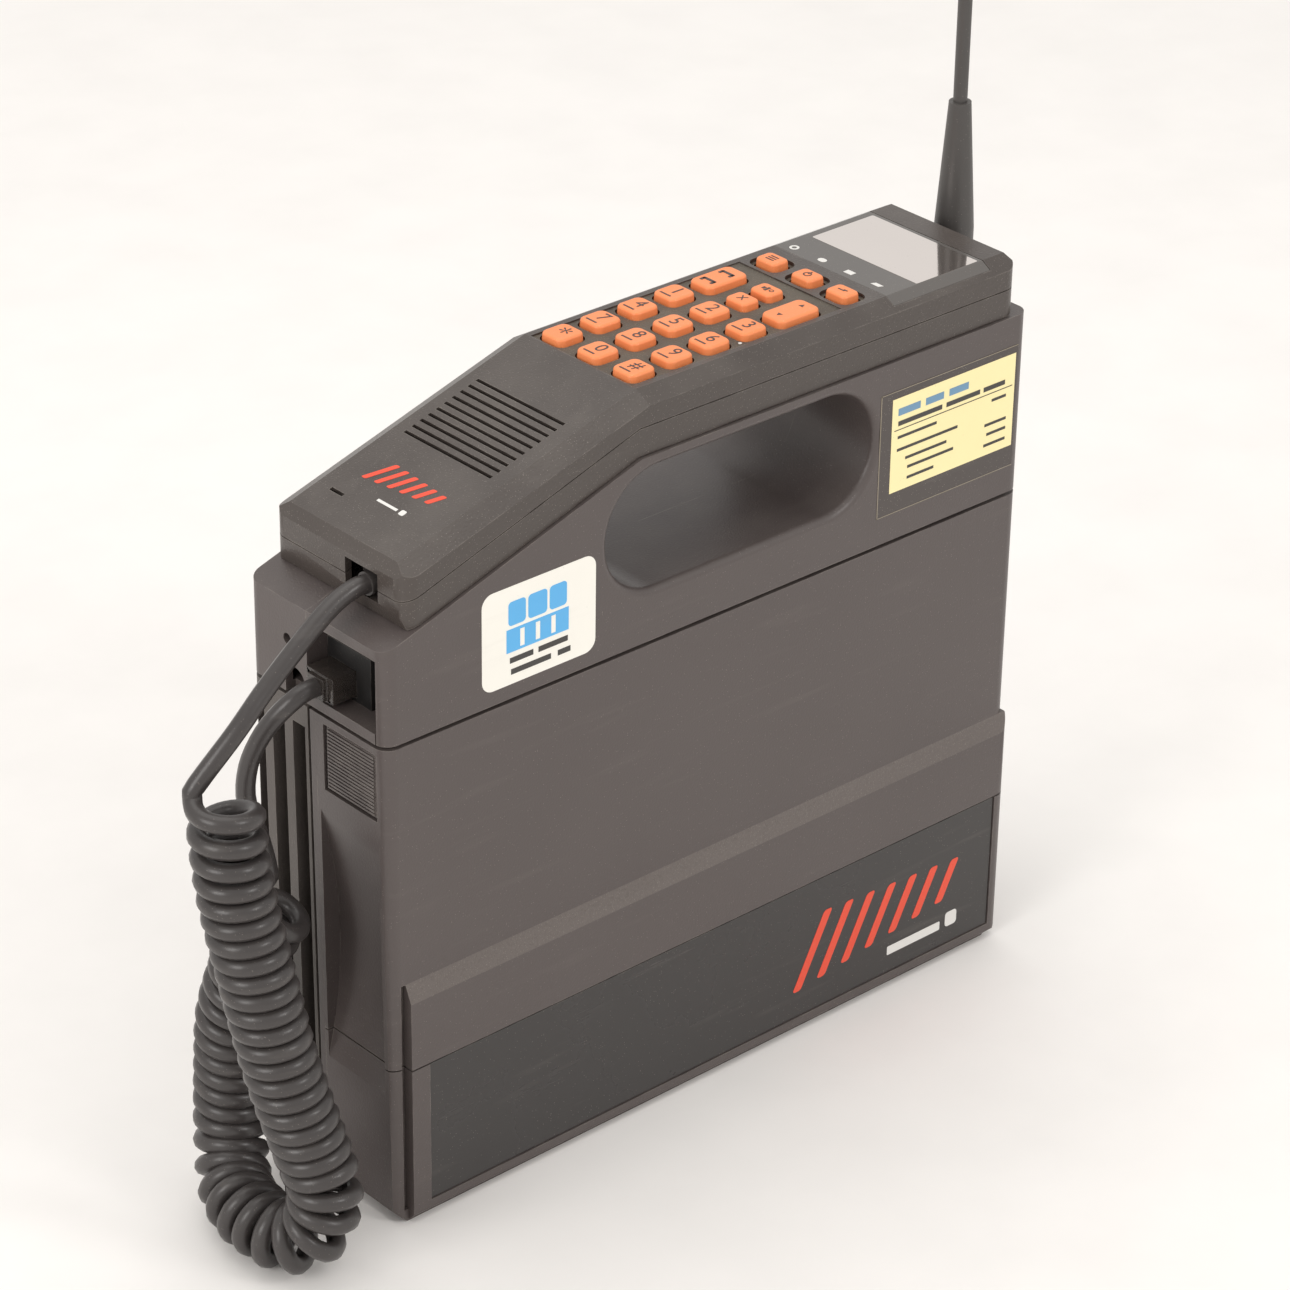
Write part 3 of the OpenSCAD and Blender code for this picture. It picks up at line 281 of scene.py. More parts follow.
def put(name, shape, place, body, slot):
    """A flat mesh set in its place on a body, in a finish."""
    bmesh.ops.transform(shape, matrix=place, verts=shape.verts)
    piece = new_object(name, shape, body)
    piece.data.materials.append(finish_for(slot))


# ---- the curly cord ---------------------------------------------------------------

# The points are in millimetres, and the leads and the two halves of the curls meet end to end.
CORD = 5.6 * MM
CURL = (22 - 5.6) / 2 * MM      # radius of the curls' centreline
TURNS = 45                      # curls in all
AXIS_STEP = 0.5 * MM            # between the points of the curls' axis
LEAD_STEP = 3 * MM              # between the points of a lead
OPEN_STEPS, EASE = 14, 60       # steps of the axis in which the curls begin after a lead, and close up
CLOSED_AT_ONCE = 0.6            # how far they have closed up when they begin
BEND_REACH = 8                  # steps each way over which a bend of the axis is measured
FINEST_TURN = 0.26              # largest angle in radians between two points of a curl
HANDSET_LEAD = [(-114, -12, 199), (-118, -12, 199), (-126, -12, 196), (-138, -12.8, 188.5),
                (-150, -13.8, 180), (-161, -15, 171.5)]
HANDSET_CURLS = [(-168, -18, 158), (-167.5, -21, 130), (-164.5, -25, 103), (-160, -29, 73), (-154, -33, 46),
                 (-151.5, -36, 33), (-152, -36, 24.2), (-153.5, -34.3, 17.7), (-155.5, -29.5, 12.9),
                 (-157.5, -23, 11.2), (-158, -18, 11.2), (-158, -14, 11.2)]
PLUG_CURLS = [(-158, -14, 11.2), (-158, -10, 11.2), (-156.5, -4, 11.2), (-154, 2.5, 12),
              (-150.5, 8.5, 16.2), (-148, 12, 23), (-146.5, 13.5, 33), (-146, 13, 48), (-146, 11, 64),
              (-144, 6, 82), (-141, 0, 97), (-137, -6, 107)]
PLUG_LEAD = [(-141.5, 2.5, 124), (-142.5, 6.5, 134), (-141.5, 6.5, 144), (-139.5, 3.5, 153.5),
             (-136, 0, 161), (-131.5, -2.6, 165.9), (-128, -3, 167.2), (-125, -3, 167.2)]


def smooth_line(points, step):
    """Points a step apart on a smooth line through the given ones."""
    p = [Vector(v) * MM for v in points]
    p = [2 * p[0] - p[1]] + p + [2 * p[-1] - p[-2]]
    fine = []
    for a, b, c, d in zip(p, p[1:], p[2:], p[3:]):
        for i in range(40):
            t = i / 40
            fine.append(0.5 * (2 * b + (c - a) * t + (2 * a - 5 * b + 4 * c - d) * t ** 2
                               + (3 * b - a - 3 * c + d) * t ** 3))
    fine.append(p[-2])
    return spaced(fine, step)


def length_of(line):
    return sum((b - a).length for a, b in zip(line, line[1:]))


def spaced(line, step):
    """The same line with its points a step apart."""
    length = length_of(line)
    count = max(2, round(length / step))
    out, walked, i = [line[0]], 0.0, 0
    for k in range(1, count):
        target = length * k / count
        while walked + (line[i + 1] - line[i]).length < target:
            walked += (line[i + 1] - line[i]).length
            i += 1
        out.append(line[i].lerp(line[i + 1], (target - walked) / (line[i + 1] - line[i]).length))
    return out + [line[-1]]


def across(direction, ahead):
    """The part of a direction that is square to the way ahead."""
    return (direction - direction.dot(ahead) * ahead).normalized()


def eased(steps_from_lead):
    """How far the curls have closed up: not at all at a lead, then quickly, then slowly up to 1."""
    closing = CLOSED_AT_ONCE + (1 - CLOSED_AT_ONCE) * steps_from_lead / EASE
    return min(1, (steps_from_lead / OPEN_STEPS) ** 2, closing)


def curled(axis, turns, before, after):
    """The cord's centreline round an axis, and the step of the axis that each of its points is beside.

    It begins on the side of the axis where one point is, and ends on the side where the other is."""
    last = len(axis) - 1
    ahead = [(axis[min(i + 1, last)] - axis[max(i - 1, 0)]).normalized() for i in range(last + 1)]
    rate = []
    for i in range(last + 1):
        before_it, after_it = max(i - BEND_REACH, 0), min(i + BEND_REACH, last)
        bend = (ahead[after_it] - ahead[before_it]).length / (axis[after_it] - axis[before_it]).length
        rate.append(max(0.6, 1 - 0.5 * CURL * bend) * eased(i) * eased(last - i))
    side = across(before - axis[0], ahead[0])
    sides = []
    for way in ahead:
        side = across(side, way)
        sides.append(side)
    leaving, over = after - axis[-1], side.cross(ahead[-1])
    whole = turns * 2 * math.pi + math.atan2(leaving.dot(over), leaving.dot(side))
    total = sum(rate[:-1])
    line, beside, angle = [], [], 0.0
    for i in range(last):
        over = sides[i].cross(ahead[i])
        step = whole * rate[i] / total
        parts = max(1, math.ceil(step / FINEST_TURN))
        for k in range(parts):
            turned = angle + step * k / parts
            at = axis[i].lerp(axis[i + 1], k / parts)
            line.append(at + CURL * (math.cos(turned) * sides[i] + math.sin(turned) * over))
            beside.append(i)
        angle += step
    return line, beside


def cord_piece(name, line, cord_jacket):
    """A round tube along a line, closed at both ends."""
    curve = bpy.data.curves.new(name, "CURVE")
    curve.dimensions, curve.bevel_depth, curve.bevel_resolution = "3D", CORD / 2, 3
    curve.use_fill_caps = True
    spline = curve.splines.new("POLY")
    spline.points.add(len(line) - 1)
    for point, at in zip(spline.points, line):
        point.co = (*at, 1)
    mesh = mesh_of_curve(name + "_line", curve)
    shape = bmesh.new()
    shape.from_mesh(mesh)
    bmesh.ops.remove_doubles(shape, verts=shape.verts, dist=1e-6)
    bmesh.ops.recalc_face_normals(shape, faces=shape.faces)
    smooth_but_sharp(shape, 60)
    shape.to_mesh(mesh)
    shape.free()
    mesh.name = name
    piece = bpy.data.objects.new(name, mesh)
    bpy.context.scene.collection.objects.link(piece)
    piece.data.materials.append(cord_jacket)
    return piece


def lay_the_cord():
    """One curly cord, in two pieces that meet in the middle of the bottom loop."""
    axis = smooth_line(HANDSET_CURLS + PLUG_CURLS[1:], AXIS_STEP)
    lead_side = axis[0] + Vector((-1, 0.9, 0))
    curls, beside = curled(axis, TURNS, lead_side, Vector(PLUG_LEAD[0]) * MM)
    first, last = curls[0], curls[-1]
    middle = Vector(PLUG_CURLS[0]) * MM
    split = beside.index(min(range(len(axis)), key=lambda i: (axis[i] - middle).length))
    lead = smooth_line(HANDSET_LEAD + [tuple(first / MM), tuple(curls[6] / MM)], LEAD_STEP)
    handset_line = [p for p in lead if p.z > first.z + 1 * MM] + curls[:split + 1]
    run_out = smooth_line([tuple(curls[-7] / MM), tuple(last / MM)] + PLUG_LEAD, LEAD_STEP)
    plug_line = curls[split:] + [p for p in run_out if p.z > last.z + 1 * MM]
    jacket = plastic("cord jacket", (60, 56, 55), roughness=0.33, grain=700, depth=0.10, edge_wear_and_highlight=0.0,
                     scuff=0.3, specks=0.25, film=0.1)
    handset_cord = cord_piece("handset_cord", handset_line, jacket)
    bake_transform(handset_cord)
    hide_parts("cord_handset_lead", "cord_handset_coil")
    plug_cord = cord_piece("plug_cord", plug_line, jacket)
    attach(plug_cord, "base")
    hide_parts("cord_plug_lead", "cord_plug_coil")


# ---- finishes -------------------------------------------------------------------------

def srgb(*levels):
    """A linear colour from red, green and blue as a display shows them, 0 to 255."""
    shares = (level / 255 for level in levels)
    return tuple(v / 12.92 if v <= 10 / 255 else ((v + 0.055) / 1.055) ** 2.4 for v in shares) + (1,)


def group_with(name, inputs, outputs):
    """A node group whose sockets are all plain values, with its two end nodes."""
    group = bpy.data.node_groups.new(name, "ShaderNodeTree")
    for label, value in inputs:
        socket = group.interface.new_socket(label, in_out="INPUT", socket_type="NodeSocketFloat")
        socket.default_value = value
    for label in outputs:
        group.interface.new_socket(label, in_out="OUTPUT", socket_type="NodeSocketFloat")
    return group, group.nodes.new("NodeGroupInput"), group.nodes.new("NodeGroupOutput")


def joined(tree, source, output, target, inlet):
    tree.links.new(source.outputs[output], target.inputs[inlet])


def maths(tree, operation, a, b=None, clamp=False):
    """A maths node whose inputs are numbers or (node, output) pairs."""
    node = tree.nodes.new("ShaderNodeMath")
    node.operation, node.use_clamp = operation, clamp
    for i, value in enumerate((a, b)):
        if isinstance(value, tuple):
            tree.links.new(value[0].outputs[value[1]], node.inputs[i])
        elif value is not None:
            node.inputs[i].default_value = value
    return node


def moulded_grain():
    """Height of a fine spark-eroded grain, with a slow waviness under it."""
    group, enter, leave = group_with("moulded grain", [("Scale", 1500), ("Wave", 0.3)], ["Height"])
    place = group.nodes.new("ShaderNodeTexCoord")
    fine = group.nodes.new("ShaderNodeTexNoise")
    fine.inputs["Detail"].default_value = 2
    slow = group.nodes.new("ShaderNodeTexNoise")
    slow.inputs["Scale"].default_value = 30
    joined(group, place, "Object", fine, "Vector")
    joined(group, place, "Object", slow, "Vector")
    joined(group, enter, "Scale", fine, "Scale")
    wave = maths(group, "MULTIPLY", (slow, "Fac"), (enter, "Wave"))
    both = maths(group, "ADD", (fine, "Fac"), (wave, 0))
    joined(group, both, 0, leave, "Height")
    return group


def dust_specks():
    """Mask of dust lying on faces that look up, and of fine pale specks."""
    group, enter, leave = group_with("dust specks", [("Scale", 900), ("Amount", 0.3), ("Film", 0.3)],
                                     ["Specks", "Film"])
    place = group.nodes.new("ShaderNodeTexCoord")
    cells = group.nodes.new("ShaderNodeTexVoronoi")
    joined(group, place, "Object", cells, "Vector")
    joined(group, enter, "Scale", cells, "Scale")
    near = maths(group, "LESS_THAN", (cells, "Distance"), 0.16)
    pick = group.nodes.new("ShaderNodeSeparateColor")
    joined(group, cells, "Color", pick, "Color")
    some = maths(group, "LESS_THAN", (pick, "Red"), (enter, "Amount"))
    speck = maths(group, "MULTIPLY", (near, 0), (some, 0))
    joined(group, speck, 0, leave, "Specks")
    face = group.nodes.new("ShaderNodeNewGeometry")
    split = group.nodes.new("ShaderNodeSeparateXYZ")
    joined(group, face, "Normal", split, "Vector")
    up = maths(group, "MULTIPLY", (split, "Z"), 1.0, clamp=True)
    cloud = group.nodes.new("ShaderNodeTexNoise")
    cloud.inputs["Scale"].default_value = 45
    cloud.inputs["Detail"].default_value = 6
    joined(group, place, "Object", cloud, "Vector")
    patch = maths(group, "SUBTRACT", (cloud, "Fac"), 0.35, clamp=True)
    lying = maths(group, "MULTIPLY", (patch, 0), (up, 0))
    film = maths(group, "MULTIPLY", (lying, 0), (enter, "Film"), clamp=True)
    joined(group, film, 0, leave, "Film")
    return group


def worn_and_highlit_edges():
    """Mask of rubbed and chipped edges, with a painted highlight along every rounded edge, and of faint
    scuffs on the faces.
    """
    group, enter, leave = group_with("worn edges", [("Edge", 0.5), ("Scuff", 0.2)], ["Edges", "Scuffs"])
    place = group.nodes.new("ShaderNodeTexCoord")
    face = group.nodes.new("ShaderNodeNewGeometry")
    # The bevel normal picks out every rounded edge, and the mask lays a painted highlight on them as well
    # as wear.
    rounded = group.nodes.new("ShaderNodeBevel")
    rounded.samples = 4
    rounded.inputs["Radius"].default_value = 0.5 * MM
    alike = group.nodes.new("ShaderNodeVectorMath")
    alike.operation = "DOT_PRODUCT"
    joined(group, rounded, "Normal", alike, 0)
    joined(group, face, "Normal", alike, 1)
    sharp = maths(group, "SUBTRACT", 0.98, (alike, "Value"), clamp=True)
    strong = maths(group, "MULTIPLY", (sharp, 0), 6.0, clamp=True)
    rub = group.nodes.new("ShaderNodeTexNoise")
    rub.inputs["Scale"].default_value = 120
    rub.inputs["Detail"].default_value = 5
    joined(group, place, "Object", rub, "Vector")
    patchy = maths(group, "SUBTRACT", (rub, "Fac"), 0.42, clamp=True)
    patchy = maths(group, "MULTIPLY", (patchy, 0), 5.0, clamp=True)
    edge = maths(group, "MULTIPLY", (strong, 0), (patchy, 0))
    edge = maths(group, "MULTIPLY", (edge, 0), (enter, "Edge"), clamp=True)
    joined(group, edge, 0, leave, "Edges")
    stretch = group.nodes.new("ShaderNodeMapping")
    stretch.inputs["Scale"].default_value = (14, 60, 160)
    stretch.inputs["Rotation"].default_value = (0, 0.5, 0)
    joined(group, place, "Object", stretch, "Vector")
    lines = group.nodes.new("ShaderNodeTexNoise")
    lines.inputs["Scale"].default_value = 1.5
    lines.inputs["Detail"].default_value = 8
    joined(group, stretch, "Vector", lines, "Vector")
    thin = maths(group, "SUBTRACT", (lines, "Fac"), 0.6, clamp=True)
    thin = maths(group, "MULTIPLY", (thin, 0), 6.0, clamp=True)
    scuff = maths(group, "MULTIPLY", (thin, 0), (enter, "Scuff"), clamp=True)
    joined(group, scuff, 0, leave, "Scuffs")
    return group


def placed_group(tree, group, **values):
    """A group in a material's tree, with its inputs set by name."""
    node = tree.nodes.new("ShaderNodeGroup")
    node.node_tree = group
    for name, value in values.items():
        node.inputs[name.capitalize()].default_value = value
    return node


def tinted(tree, base, mask, colour):
    """base is a colour or a (node, output) pair; the mask brings in another colour."""
    mix = tree.nodes.new("ShaderNodeMix")
    mix.data_type = "RGBA"
    if isinstance(base, tuple) and not isinstance(base[0], float):
        tree.links.new(base[0].outputs[base[1]], mix.inputs["A"])
    else:
        mix.inputs["A"].default_value = base
    mix.inputs["B"].default_value = colour
    tree.links.new(mask[0].outputs[mask[1]], mix.inputs["Factor"])
    return mix


GROUPS = {}


def shared(maker):
    """The one group that a function makes, which all materials use."""
    if maker not in GROUPS:
        GROUPS[maker] = maker()
    return GROUPS[maker]


def plastic(name, colour, roughness=0.5, grain=1500, depth=0.15, edge_wear_and_highlight=0.5, scuff=0.2, specks=0.2, film=0.3,
            pale=(150, 142, 134), metallic=0.0, clear=0.0):
    """Moulded plastic or paint: base colour with mottling, worn edges with a painted highlight along them,
    dust and a fine grain.
    """
    made = bpy.data.materials.new(name)
    made.use_nodes = True
    tree = made.node_tree
    shader = tree.nodes["Principled BSDF"]
    shader.inputs["Metallic"].default_value = metallic
    shader.inputs["Transmission Weight"].default_value = clear
    place = tree.nodes.new("ShaderNodeTexCoord")
    mottle = tree.nodes.new("ShaderNodeTexNoise")
    mottle.inputs["Scale"].default_value = 22
    mottle.inputs["Detail"].default_value = 5
    joined(tree, place, "Object", mottle, "Vector")
    shade = maths(tree, "SUBTRACT", (mottle, "Fac"), 0.35, clamp=True)
    main, dust_wear_and_highlight = srgb(*colour), srgb(*pale)
    darker = tuple(c * 0.9 for c in main[:3]) + (1,)
    base = tinted(tree, main, (shade, 0), darker)
    dust = placed_group(tree, shared(dust_specks), scale=1400, amount=specks, film=film)
    worn = placed_group(tree, shared(worn_and_highlit_edges), edge=edge_wear_and_highlight, scuff=scuff)
    base = tinted(tree, (base, "Result"), (dust, "Film"), dust_wear_and_highlight)
    # painted highlight, partly real wear: the pale colour laid along the rounded edges.
    base = tinted(tree, (base, "Result"), (worn, "Edges"), dust_wear_and_highlight)
    faint = maths(tree, "MULTIPLY", (worn, "Scuffs"), 0.3)
    base = tinted(tree, (base, "Result"), (faint, 0), dust_wear_and_highlight)
    fleck = maths(tree, "MULTIPLY", (dust, "Specks"), 0.5)
    base = tinted(tree, (base, "Result"), (fleck, 0), dust_wear_and_highlight)
    joined(tree, base, "Result", shader, "Base Color")
    rough = maths(tree, "MULTIPLY_ADD", (mottle, "Fac"), 0.16)
    rough.inputs[2].default_value = roughness - 0.08
    rubbed = maths(tree, "MULTIPLY_ADD", (worn, "Scuffs"), 0.12)
    tree.links.new(rough.outputs[0], rubbed.inputs[2])
    joined(tree, rubbed, 0, shader, "Roughness")
    height = placed_group(tree, shared(moulded_grain), scale=grain)
    bump = tree.nodes.new("ShaderNodeBump")
    bump.inputs["Strength"].default_value = depth
    bump.inputs["Distance"].default_value = 0.0004
    joined(tree, height, "Height", bump, "Height")
    joined(tree, bump, "Normal", shader, "Normal")
    return made


# The slots of the record come first, then the inks, papers and tape that are only here.
FINISHES = {
    "grey_plastic": dict(colour=(82, 74, 72), roughness=0.37, depth=0.22),
    "handset_plastic": dict(colour=(71, 64, 60), roughness=0.34, depth=0.25, specks=0.6, film=0.3),
    "dusty_panel": dict(colour=(82, 75, 66), roughness=0.6, depth=0.5, specks=1.0, film=0.5,
                        pale=(160, 150, 132)),
    # rough_ledge is lighter than grey_plastic as a painted highlight for the light the ledge catches,
    # besides its coarser grain.
    "rough_ledge": dict(colour=(100, 92, 88), roughness=0.33, depth=0.9, grain=900, edge_wear_and_highlight=0.3, scuff=0.05,
                        specks=1.0, film=0),
    "smooth_panel": dict(colour=(52, 49, 48), roughness=0.28, depth=0.04, grain=500, scuff=0.3, film=0.1),
    "orange_keys": dict(colour=(246, 142, 86), roughness=0.42, depth=0.12, pale=(252, 200, 168), edge_wear_and_highlight=0.3,
                        film=0.2),
    # window_plastic: a dark grey made lighter as a painted reflection, besides its real gloss.
    "window_plastic": dict(colour=(94, 90, 87), roughness=0.14, film=0.1, depth=0.02, grain=300,
                           specks=0.3),
    "display_glass": dict(colour=(242, 234, 229), roughness=0.06, depth=0.0, metallic=1.0, edge_wear_and_highlight=0, film=0,
                          specks=0.02, scuff=0.05),
    "clear_plastic": dict(colour=(120, 110, 104), roughness=0.1, depth=0.03, edge_wear_and_highlight=0, film=0, clear=0.8),
    "black_plastic": dict(colour=(30, 29, 29), roughness=0.4, depth=0.12),
    "cord_rubber": dict(colour=(60, 56, 55), roughness=0.42, grain=700, depth=0.10),
    "antenna_rubber": dict(colour=(72, 69, 67), roughness=0.42, depth=0.12, edge_wear_and_highlight=0.1),
    "cast_case": dict(colour=(82, 76, 72), roughness=0.5, depth=0.30),
    "tinplate": dict(colour=(176, 175, 170), roughness=0.35, depth=0.05, metallic=1.0),
    "steel": dict(colour=(150, 150, 150), roughness=0.35, depth=0.05, metallic=1.0),
    "brass_contacts": dict(colour=(206, 168, 84), roughness=0.3, depth=0.04, metallic=1.0),
    "copper": dict(colour=(186, 116, 72), roughness=0.35, depth=0.04, metallic=1.0),
    "circuit_board": dict(colour=(28, 84, 52), roughness=0.4, depth=0.08),
    "cell_jacket": dict(colour=(46, 108, 130), roughness=0.35, depth=0.05),
    "speaker_cone": dict(colour=(50, 46, 44), roughness=0.7, depth=0.3),
    "key_ink": dict(colour=(74, 62, 58), roughness=0.5, depth=0.02, edge_wear_and_highlight=0, film=0, specks=0.05),
    "pale_ink": dict(colour=(226, 224, 220), roughness=0.5, depth=0.02, edge_wear_and_highlight=0, film=0, specks=0),
    "red_ink": dict(colour=(232, 78, 52), roughness=0.45, depth=0.02, edge_wear_and_highlight=0, film=0, specks=0),
    "dark_ink": dict(colour=(62, 60, 58), roughness=0.5, depth=0.02, edge_wear_and_highlight=0, film=0, specks=0),
    "blue_ink": dict(colour=(92, 178, 234), roughness=0.4, depth=0.02, edge_wear_and_highlight=0, film=0, specks=0),
    "blue_ink_faded": dict(colour=(110, 150, 180), roughness=0.4, depth=0.02, edge_wear_and_highlight=0, film=0, specks=0),
    "white_paper": dict(colour=(246, 243, 234), roughness=0.35, depth=0.02, edge_wear_and_highlight=0, film=0.1, specks=0.02),
    "yellow_paper": dict(colour=(252, 238, 180), roughness=0.3, depth=0.02, edge_wear_and_highlight=0, film=0.05, specks=0.03),
    "tape": dict(colour=(72, 65, 62), roughness=0.2, depth=0.06, grain=60, edge_wear_and_highlight=0.2, scuff=0.4, specks=0.6,
                 film=0),
    "tape_edge": dict(colour=(140, 130, 112), roughness=0.4, depth=0.04, edge_wear_and_highlight=0.5, specks=0.9, film=0.4),
}
MADE = {}


def finish_for(slot):
    """The finish of a slot, made once; the frame's own plain materials bear the slots' bare names."""
    if slot not in MADE:
        MADE[slot] = plastic(slot + " finish", **FINISHES[slot])
    return MADE[slot]


def dress(piece, slot):
    """Gives a piece the finish of a slot of the record."""
    piece.data.materials.clear()
    piece.data.materials.append(finish_for(slot))
    return piece


# ---- pieces of this telephone ------------------------------------------------------------

LEVEL_TOP = 234.7 * MM          # level top face of the handset
BEND = -28 * MM                 # where its top face starts to slope
SLOPE = math.atan(0.30)
SEAM_FALL = 0.32                # how fast the line that parts the shells' upper and lower edges falls
FRONT = -30 * MM                # front face of the carrying body
PRINT = 0.08 * MM               # thickness of ink, and of stickers


def on_the_slope(x, y):
    """A place on the sloping top of the handset, with lines of print running towards the label side."""
    at = (x, y, LEVEL_TOP - (BEND - x) * math.tan(SLOPE))
    return facing(at, (0, -1, 0), (math.cos(SLOPE), 0, math.sin(SLOPE)))


def on_the_level(x, y, z=LEVEL_TOP):
    """A place on the level top of the handset, which is read from the near end."""
    return facing((x, y, z), (0, -1, 0), (1, 0, 0))


def on_the_front(x, z, y=FRONT):
    """A place on the label side of the body."""
    return facing((x, y, z), (1, 0, 0), (0, 0, 1))


def lie_of(edge):
    """The middle of an edge."""
    return (edge.verts[0].co + edge.verts[1].co) / 2


TOP_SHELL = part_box("handset_top_shell")
BOTTOM_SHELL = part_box("handset_bottom_shell")


def under_edge_of_handset(edge):
    """The outer lower edges of the bottom shell."""
    at, (low, high) = lie_of(edge), BOTTOM_SHELL
    if edge.calc_length() < 5 * MM or edge.calc_face_angle(0) < math.radians(25):
        return False
    seam = min(low.z + 5 * MM + max(0, at.x - low.x) * SEAM_FALL, 222 * MM)
    return at.z < seam and (abs(at.y) > 28 * MM or at.x < low.x + 2 * MM or at.x > high.x - 3 * MM)


def long_edge_of_handset(edge):
    """The outer edges of the top shell: the long bevels, the bend and the two ends."""
    at, (low, high) = lie_of(edge), TOP_SHELL
    if edge.calc_length() < 5 * MM or edge.calc_face_angle(0) < math.radians(11):
        return False
    seam = high.z - 12 * MM - max(0, (-31 * MM - at.x)) * SEAM_FALL
    at_an_end = at.x < low.x + 3 * MM or at.x > high.x - 3 * MM
    return at.z >= seam and (abs(at.y) > 22.4 * MM or at_an_end or abs(at.x - BEND) < 1 * MM)


def rim_of_body(edge):
    """The outer corners of the carrying body, not its openings."""
    at = lie_of(edge)
    if edge.calc_face_angle(0) < math.radians(25) or edge.calc_length() < 2 * MM:
        return False
    return abs(at.y) > 29 * MM or abs(at.x) > 121.5 * MM


def build_shells():
    """The handset's two shells, with the dusty panel between the keys."""
    top = softened("handset_top_shell", 0.25 * MM, 2, 30, [(long_edge_of_handset, 1.1 * MM, 4)])
    bottom = softened("handset_bottom_shell", 0.3 * MM, 2, 30, [(under_edge_of_handset, 1.3 * MM, 4)])
    dress(top, "handset_plastic")
    dress(bottom, "handset_plastic")
    paint(top, "dusty_panel",
          lambda f: f.normal.z > 0.99 and LEVEL_TOP - 1.4 * MM < f.center.z < LEVEL_TOP - 0.3 * MM)


def build_display():
    """The display's cover, its glass, the four symbols before it and the white dot by the keys."""
    dress(softened("display_window", 0.25 * MM, 2, 20), "window_plastic")
    low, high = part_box("display_window")
    glass = bmesh.new()
    wide, deep = 44 * MM, 25.1 * MM
    add_plate(glass, 0, 0, wide, deep, PRINT, corner=0.6 * MM)
    put("display_glass", glass, on_the_level(high.x - 1.6 * MM - deep / 2, -1.2 * MM), "handset",
        "display_glass")
    marks = bmesh.new()
    add_ring(marks, -18.5 * MM, 0, 1.5 * MM, 0.7 * MM, PRINT)
    add_plate(marks, -6.6 * MM, 0, 3.0 * MM, 2.2 * MM, PRINT, corner=1.05 * MM)
    add_plate(marks, 4.9 * MM, 0, 3.2 * MM, 2.1 * MM, PRINT)
    add_plate(marks, 16.3 * MM, 0, 3.2 * MM, 1.5 * MM, PRINT, slant=0.5)
    put("display_symbols", marks, on_the_level(low.x + 3.4 * MM, 0), "handset", "pale_ink")
    dot = bmesh.new()
    add_plate(dot, 0, 0, 1.1 * MM, 1.1 * MM, PRINT, corner=0.54 * MM)
    put("charge_dot", dot, on_the_level(15 * MM, -19.4 * MM, LEVEL_TOP - 0.5 * MM), "handset", "pale_ink")


# ---- the keys ---------------------------------------------------------------------------

FLANGE = 0.8 * MM               # a key's hidden rim under the shell, all round
DRAFT = 0.7 * MM                # how much narrower a cap is at its top
CAP_EDGE = 0.85 * MM            # rounding of its top edge


def key_cap(node, low, high):
    """A soft-cornered cap with a little draft, its top edge well rounded."""
    wide, deep = high.x - low.x - 2 * FLANGE, high.y - low.y - 2 * FLANGE
    corner = (2.5 if wide > 8 * MM else 1.9) * MM
    cap = bmesh.new()
    bmesh.ops.create_grid(cap, x_segments=1, y_segments=1, size=0.5)
    bmesh.ops.scale(cap, vec=(wide, deep, 1), verts=cap.verts)
    bmesh.ops.bevel(cap, geom=cap.verts[:], offset=corner, segments=10, profile=0.5,
                    affect="VERTICES", material=-1)
    top = raised(cap, high.z - low.z)
    bmesh.ops.scale(cap, vec=(1 - DRAFT / wide, 1 - DRAFT / deep, 1), verts=top)
    rim = [e for e in cap.edges if e.verts[0] in top and e.verts[1] in top]
    bmesh.ops.bevel(cap, geom=rim, offset=CAP_EDGE, segments=5, profile=0.5, affect="EDGES", material=-1)
    bmesh.ops.translate(cap, vec=((low.x + high.x) / 2, (low.y + high.y) / 2, low.z), verts=cap.verts)
    bmesh.ops.recalc_face_normals(cap, faces=cap.faces)
    smooth_but_sharp(cap, 50)
    return even_normals(new_object(node + "_cap", cap, node, node))


def print_digit(ink, digit):
    """A figure, with a plain bar in place of its letters."""
    add_sign(ink, digit, 0.3 * MM, 0.9 * MM, 6.4 * MM, PRINT)
    add_plate(ink, -0.4 * MM, -3.0 * MM, 4.4 * MM, 0.6 * MM, PRINT)


def print_star(ink):
    add_sign(ink, "*", 0.3 * MM, -0.8 * MM, 9 * MM, PRINT)


def print_hash(ink):
    print_digit(ink, "#")


def print_call(ink):
    """Two handsets, one towards each end of the long key."""
    for y in (3.6 * MM, -3.6 * MM):
        add_plate(ink, 0, y, 5.2 * MM, 1.1 * MM, PRINT, corner=0.4 * MM)
        for x in (-2.1 * MM, 2.1 * MM):
            add_plate(ink, x, y - 0.8 * MM, 1.1 * MM, 1.8 * MM, PRINT, corner=0.3 * MM)


def print_arrows(ink):
    """Two small triangles that point apart."""
    for y, turn in ((4.4 * MM, 0), (-4.4 * MM, math.pi)):
        tip = bmesh.new()
        bmesh.ops.create_circle(tip, cap_ends=True, segments=3, radius=1.0 * MM)
        raised(tip, PRINT)
        bmesh.ops.transform(tip, matrix=Matrix.Translation((0, y, 0)) @ Matrix.Rotation(turn, 4, "Z"),
                            verts=tip.verts)
        pour(tip, ink)


def print_clear(ink):
    for slant in (0.8, -0.8):
        add_plate(ink, 0, 0, 0.5 * MM, 2.6 * MM, PRINT, slant=slant, lift=PRINT * 0.1 * slant)


